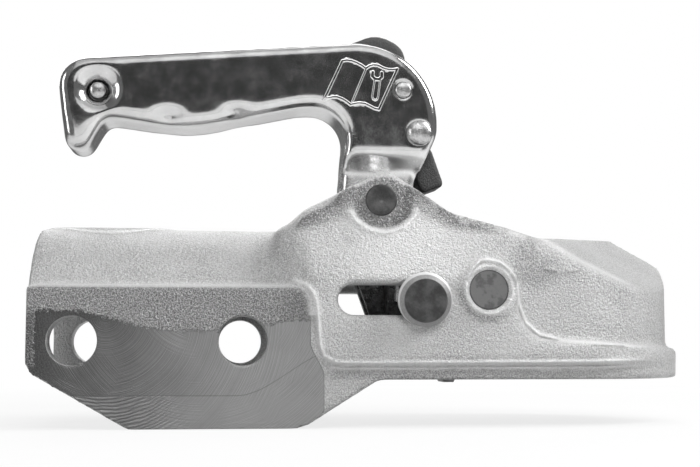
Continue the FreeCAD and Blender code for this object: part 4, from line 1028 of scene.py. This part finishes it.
def press_dents(lever):
    """Presses the two finger dents in from both sides and lifts the edge above them a little."""
    spots = places(lever)
    x, side, z = spots[:, 0] / MM, spots[:, 1] / MM, spots[:, 2] / MM
    depth = np.zeros(len(spots))
    for middle_x, middle_z in DENTS:
        along = (x - middle_x) / DENT_HALF_LENGTH
        up = (z - middle_z) / DENT_HALF_HEIGHT
        depth += DENT_DEPTH * MM * np.exp(-(along ** 2) - up ** 2)
    depth *= np.clip((np.abs(side) - DENT_START) / DENT_RUN, 0, 1)
    spots[:, 1] -= np.sign(side) * depth
    spots[:, 2] += DENT_LIFT * depth
    move_to(lever, spots)


def make_soft_lever():
    lever = copy_of("hand_lever", "soft_lever")
    apply_modifier(lever, "REMESH", mode="VOXEL", voxel_size=LEVER_VOXEL)
    smooth_where(lever, np.ones(len(lever.data.vertices), bool), LEVER_PASSES)
    spots = places(lever)
    for further, passes in HOOK_PASSES:
        hook = (spots[:, 0] < HOOK_CORNER[0] + further) & (spots[:, 2] < HOOK_CORNER[1] + further)
        smooth_where(lever, hook, passes)
    press_dents(lever)
    press_sign(lever)
    only(lever)
    bpy.ops.object.shade_smooth()
    lever.data.materials.clear()
    lever.data.materials.append(finishes["chrome_sheet"])
    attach(lever, "lever")
    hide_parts("hand_lever")
    say_triangles(lever)


make_soft_lever()

# %% [markdown]
# ## The catch
#
# Moulded plastic has round edges too. The thumb hump is set back a little and lowered, so that it
# runs into the lever's curve.

# %% Soft catch
CATCH_VOXEL = 0.7 * MM
CATCH_PASSES = 5
HUMP_BACK = 3.2
HUMP_DOWN = 1.5
HUMP_FOOT = (96, 104)
HUMP_TOP = (105, 112)
HUMP_ALONG = (72, 88)
REAR_SHARE = 0.45


def ramp(values, low, high):
    """0 below low, 1 above high, and a straight line between."""
    return np.clip((values - low) / (high - low), 0, 1)


def make_soft_catch():
    catch = copy_of("safety_catch", "soft_catch")
    apply_modifier(catch, "REMESH", mode="VOXEL", voxel_size=CATCH_VOXEL)
    smooth_where(catch, np.ones(len(catch.data.vertices), bool), CATCH_PASSES)
    spots = places(catch)
    x, z = spots[:, 0] / MM, spots[:, 2] / MM
    front = REAR_SHARE + (1 - REAR_SHARE) * ramp(x, *HUMP_ALONG)
    spots[:, 0] -= HUMP_BACK * MM * ramp(z, *HUMP_FOOT) * front
    spots[:, 2] -= HUMP_DOWN * MM * ramp(z, *HUMP_TOP)
    move_to(catch, spots)
    only(catch)
    bpy.ops.object.shade_smooth()
    catch.data.materials.clear()
    catch.data.materials.append(finishes["black_plastic"])
    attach(catch, "catch")
    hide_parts("safety_catch")
    say_triangles(catch)


make_soft_catch()

# %% [markdown]
# ## The studio
#
# A pale floor lies under the head, the world behind it is white, and five large soft lamps light it. The
# camera sees the floor as white too, apart from the shadow near the head.

# %% Floor and world
FLOOR_SIZE = 6
FLOOR_GREY = 0.62
SHADOW_REACH = (0.12, 0.45)
SHADOW_SHARE = 0.2
WORLD_LIGHT = 0.16


def make_floor():
    """A matt white floor that keeps the shadow near the head and runs out into the white behind it."""
    finish = Finish("floor_white")
    finish.feed(base_color=grey_tint(FLOOR_GREY), roughness=0.9)
    far = finish.node("ShaderNodeVectorMath", {"operation": "LENGTH"}, {0: finish.place}, out="Value")
    camera_ray = finish.node("ShaderNodeLightPath", out="Is Camera Ray")
    glow = finish.node("ShaderNodeEmission", None, {"Color": grey_tint(1), "Strength": 1.0})
    keep = 1 - (1 - far.rise(*SHADOW_REACH)) * SHADOW_SHARE
    mix = finish.node("ShaderNodeMixShader", None, {0: camera_ray * keep, 2: glow})
    finish.tree.links.new(finish.shader.outputs[0], mix.socket.node.inputs[1])
    finish.tree.links.new(mix.socket, finish.tree.nodes["Material Output"].inputs["Surface"])
    bpy.ops.object.select_all(action="DESELECT")
    bpy.ops.mesh.primitive_plane_add(size=FLOOR_SIZE, location=(0, 0, cad_box[0][2]))
    floor = bpy.context.object
    floor.name = "floor"
    floor.data.materials.append(finish.material)


def make_world():
    """White to the camera, and a faint even light on everything else."""
    world = bpy.data.worlds.new("studio")
    world.use_nodes = True
    bpy.context.scene.world = world
    tree = world.node_tree
    shown = tree.nodes["Background"]
    shown.inputs["Color"].default_value = grey_tint(1)
    shown.inputs["Strength"].default_value = 1
    dim = tree.nodes.new("ShaderNodeBackground")
    dim.inputs["Color"].default_value = grey_tint(1)
    dim.inputs["Strength"].default_value = WORLD_LIGHT
    path = tree.nodes.new("ShaderNodeLightPath")
    mix = tree.nodes.new("ShaderNodeMixShader")
    tree.links.new(path.outputs["Is Camera Ray"], mix.inputs[0])
    tree.links.new(dim.outputs[0], mix.inputs[1])
    tree.links.new(shown.outputs[0], mix.inputs[2])
    tree.links.new(mix.outputs[0], tree.nodes["World Output"].inputs[0])


make_floor()
make_world()
print("floor at Z", round(cad_box[0][2], 4))

# %% [markdown]
# Each lamp is a rectangle that faces the middle of the head. The key lamp stands high in front, one
# hangs above, two stand at the sides and one behind.

# %% Lamps
HEAD_MIDDLE = (0.07, 0, 0.03)


def make_lamp(name, place, target, size, watts):
    data = bpy.data.lights.new(name, "AREA")
    data.shape = "RECTANGLE"
    data.size, data.size_y = size
    data.energy = watts
    lamp = bpy.data.objects.new(name, data)
    bpy.context.scene.collection.objects.link(lamp)
    lamp.location = place
    lamp.rotation_euler = (Vector(target) - Vector(place)).to_track_quat("-Z", "Y").to_euler()
    print(name, watts, "W")


make_lamp("key_lamp", (0.12, -0.62, 0.68), HEAD_MIDDLE, (0.6, 0.25), 5.4)
make_lamp("top_lamp", (0.10, -0.02, 0.80), HEAD_MIDDLE, (0.8, 0.4), 2.6)
make_lamp("left_lamp", (-0.80, -0.40, 0.30), HEAD_MIDDLE, (0.25, 0.5), 1.6)
make_lamp("right_lamp", (0.70, -0.15, 0.58), HEAD_MIDDLE, (0.3, 0.5), 5.6)
make_lamp("back_lamp", (0.0, 0.8, 0.5), HEAD_MIDDLE, (0.8, 0.5), 3.5)

# %% [markdown]
# The chrome needs something to mirror. Three cards stand behind the camera and over the head, and only
# mirrors see them: a dark one that the flat side of the lever shows, a pale one for its lower edge, and
# a grey one for what leans back.

# %% Cards
CARD_MIDDLE = 0.03
CARD_WIDTH = 0.6


def make_card(name, corners, grey, glow):
    """A card that only mirrors see, spanned from a lower to an upper edge, each as (Y, Z)."""
    (low_y, low_z), (high_y, high_z) = corners
    place = (CARD_MIDDLE, (low_y + high_y) / 2, (low_z + high_z) / 2)
    turn = math.atan2(high_z - low_z, high_y - low_y)
    bpy.ops.mesh.primitive_plane_add(size=1, location=place, rotation=(turn, 0, 0))
    card = bpy.context.object
    card.name = name
    card.scale = (CARD_WIDTH, math.hypot(high_y - low_y, high_z - low_z), 1)
    finish = Finish(name)
    finish.feed(base_color=grey_tint(grey), roughness=1.0)
    finish.feed(emission_color=grey_tint(1), emission_strength=glow)
    card.data.materials.append(finish.material)
    card.visible_camera = False
    card.visible_shadow = False
    card.visible_diffuse = False
    print(name, "from Z", low_z, "to", high_z)


make_card("dark_card", [(-0.62, 0.125), (-0.62, 0.42)], 0.01, 0.02)
make_card("pale_card", [(-0.62, -0.02), (-0.62, 0.125)], 0.5, 0.40)
make_card("grey_card", [(-0.62, 0.42), (0.10, 0.64)], 0.3, 0.30)

# %% [markdown]
# ## The end
#
# Colours are shown as they are.

# %% The end
view = bpy.context.scene.view_settings
view.view_transform = "Standard"
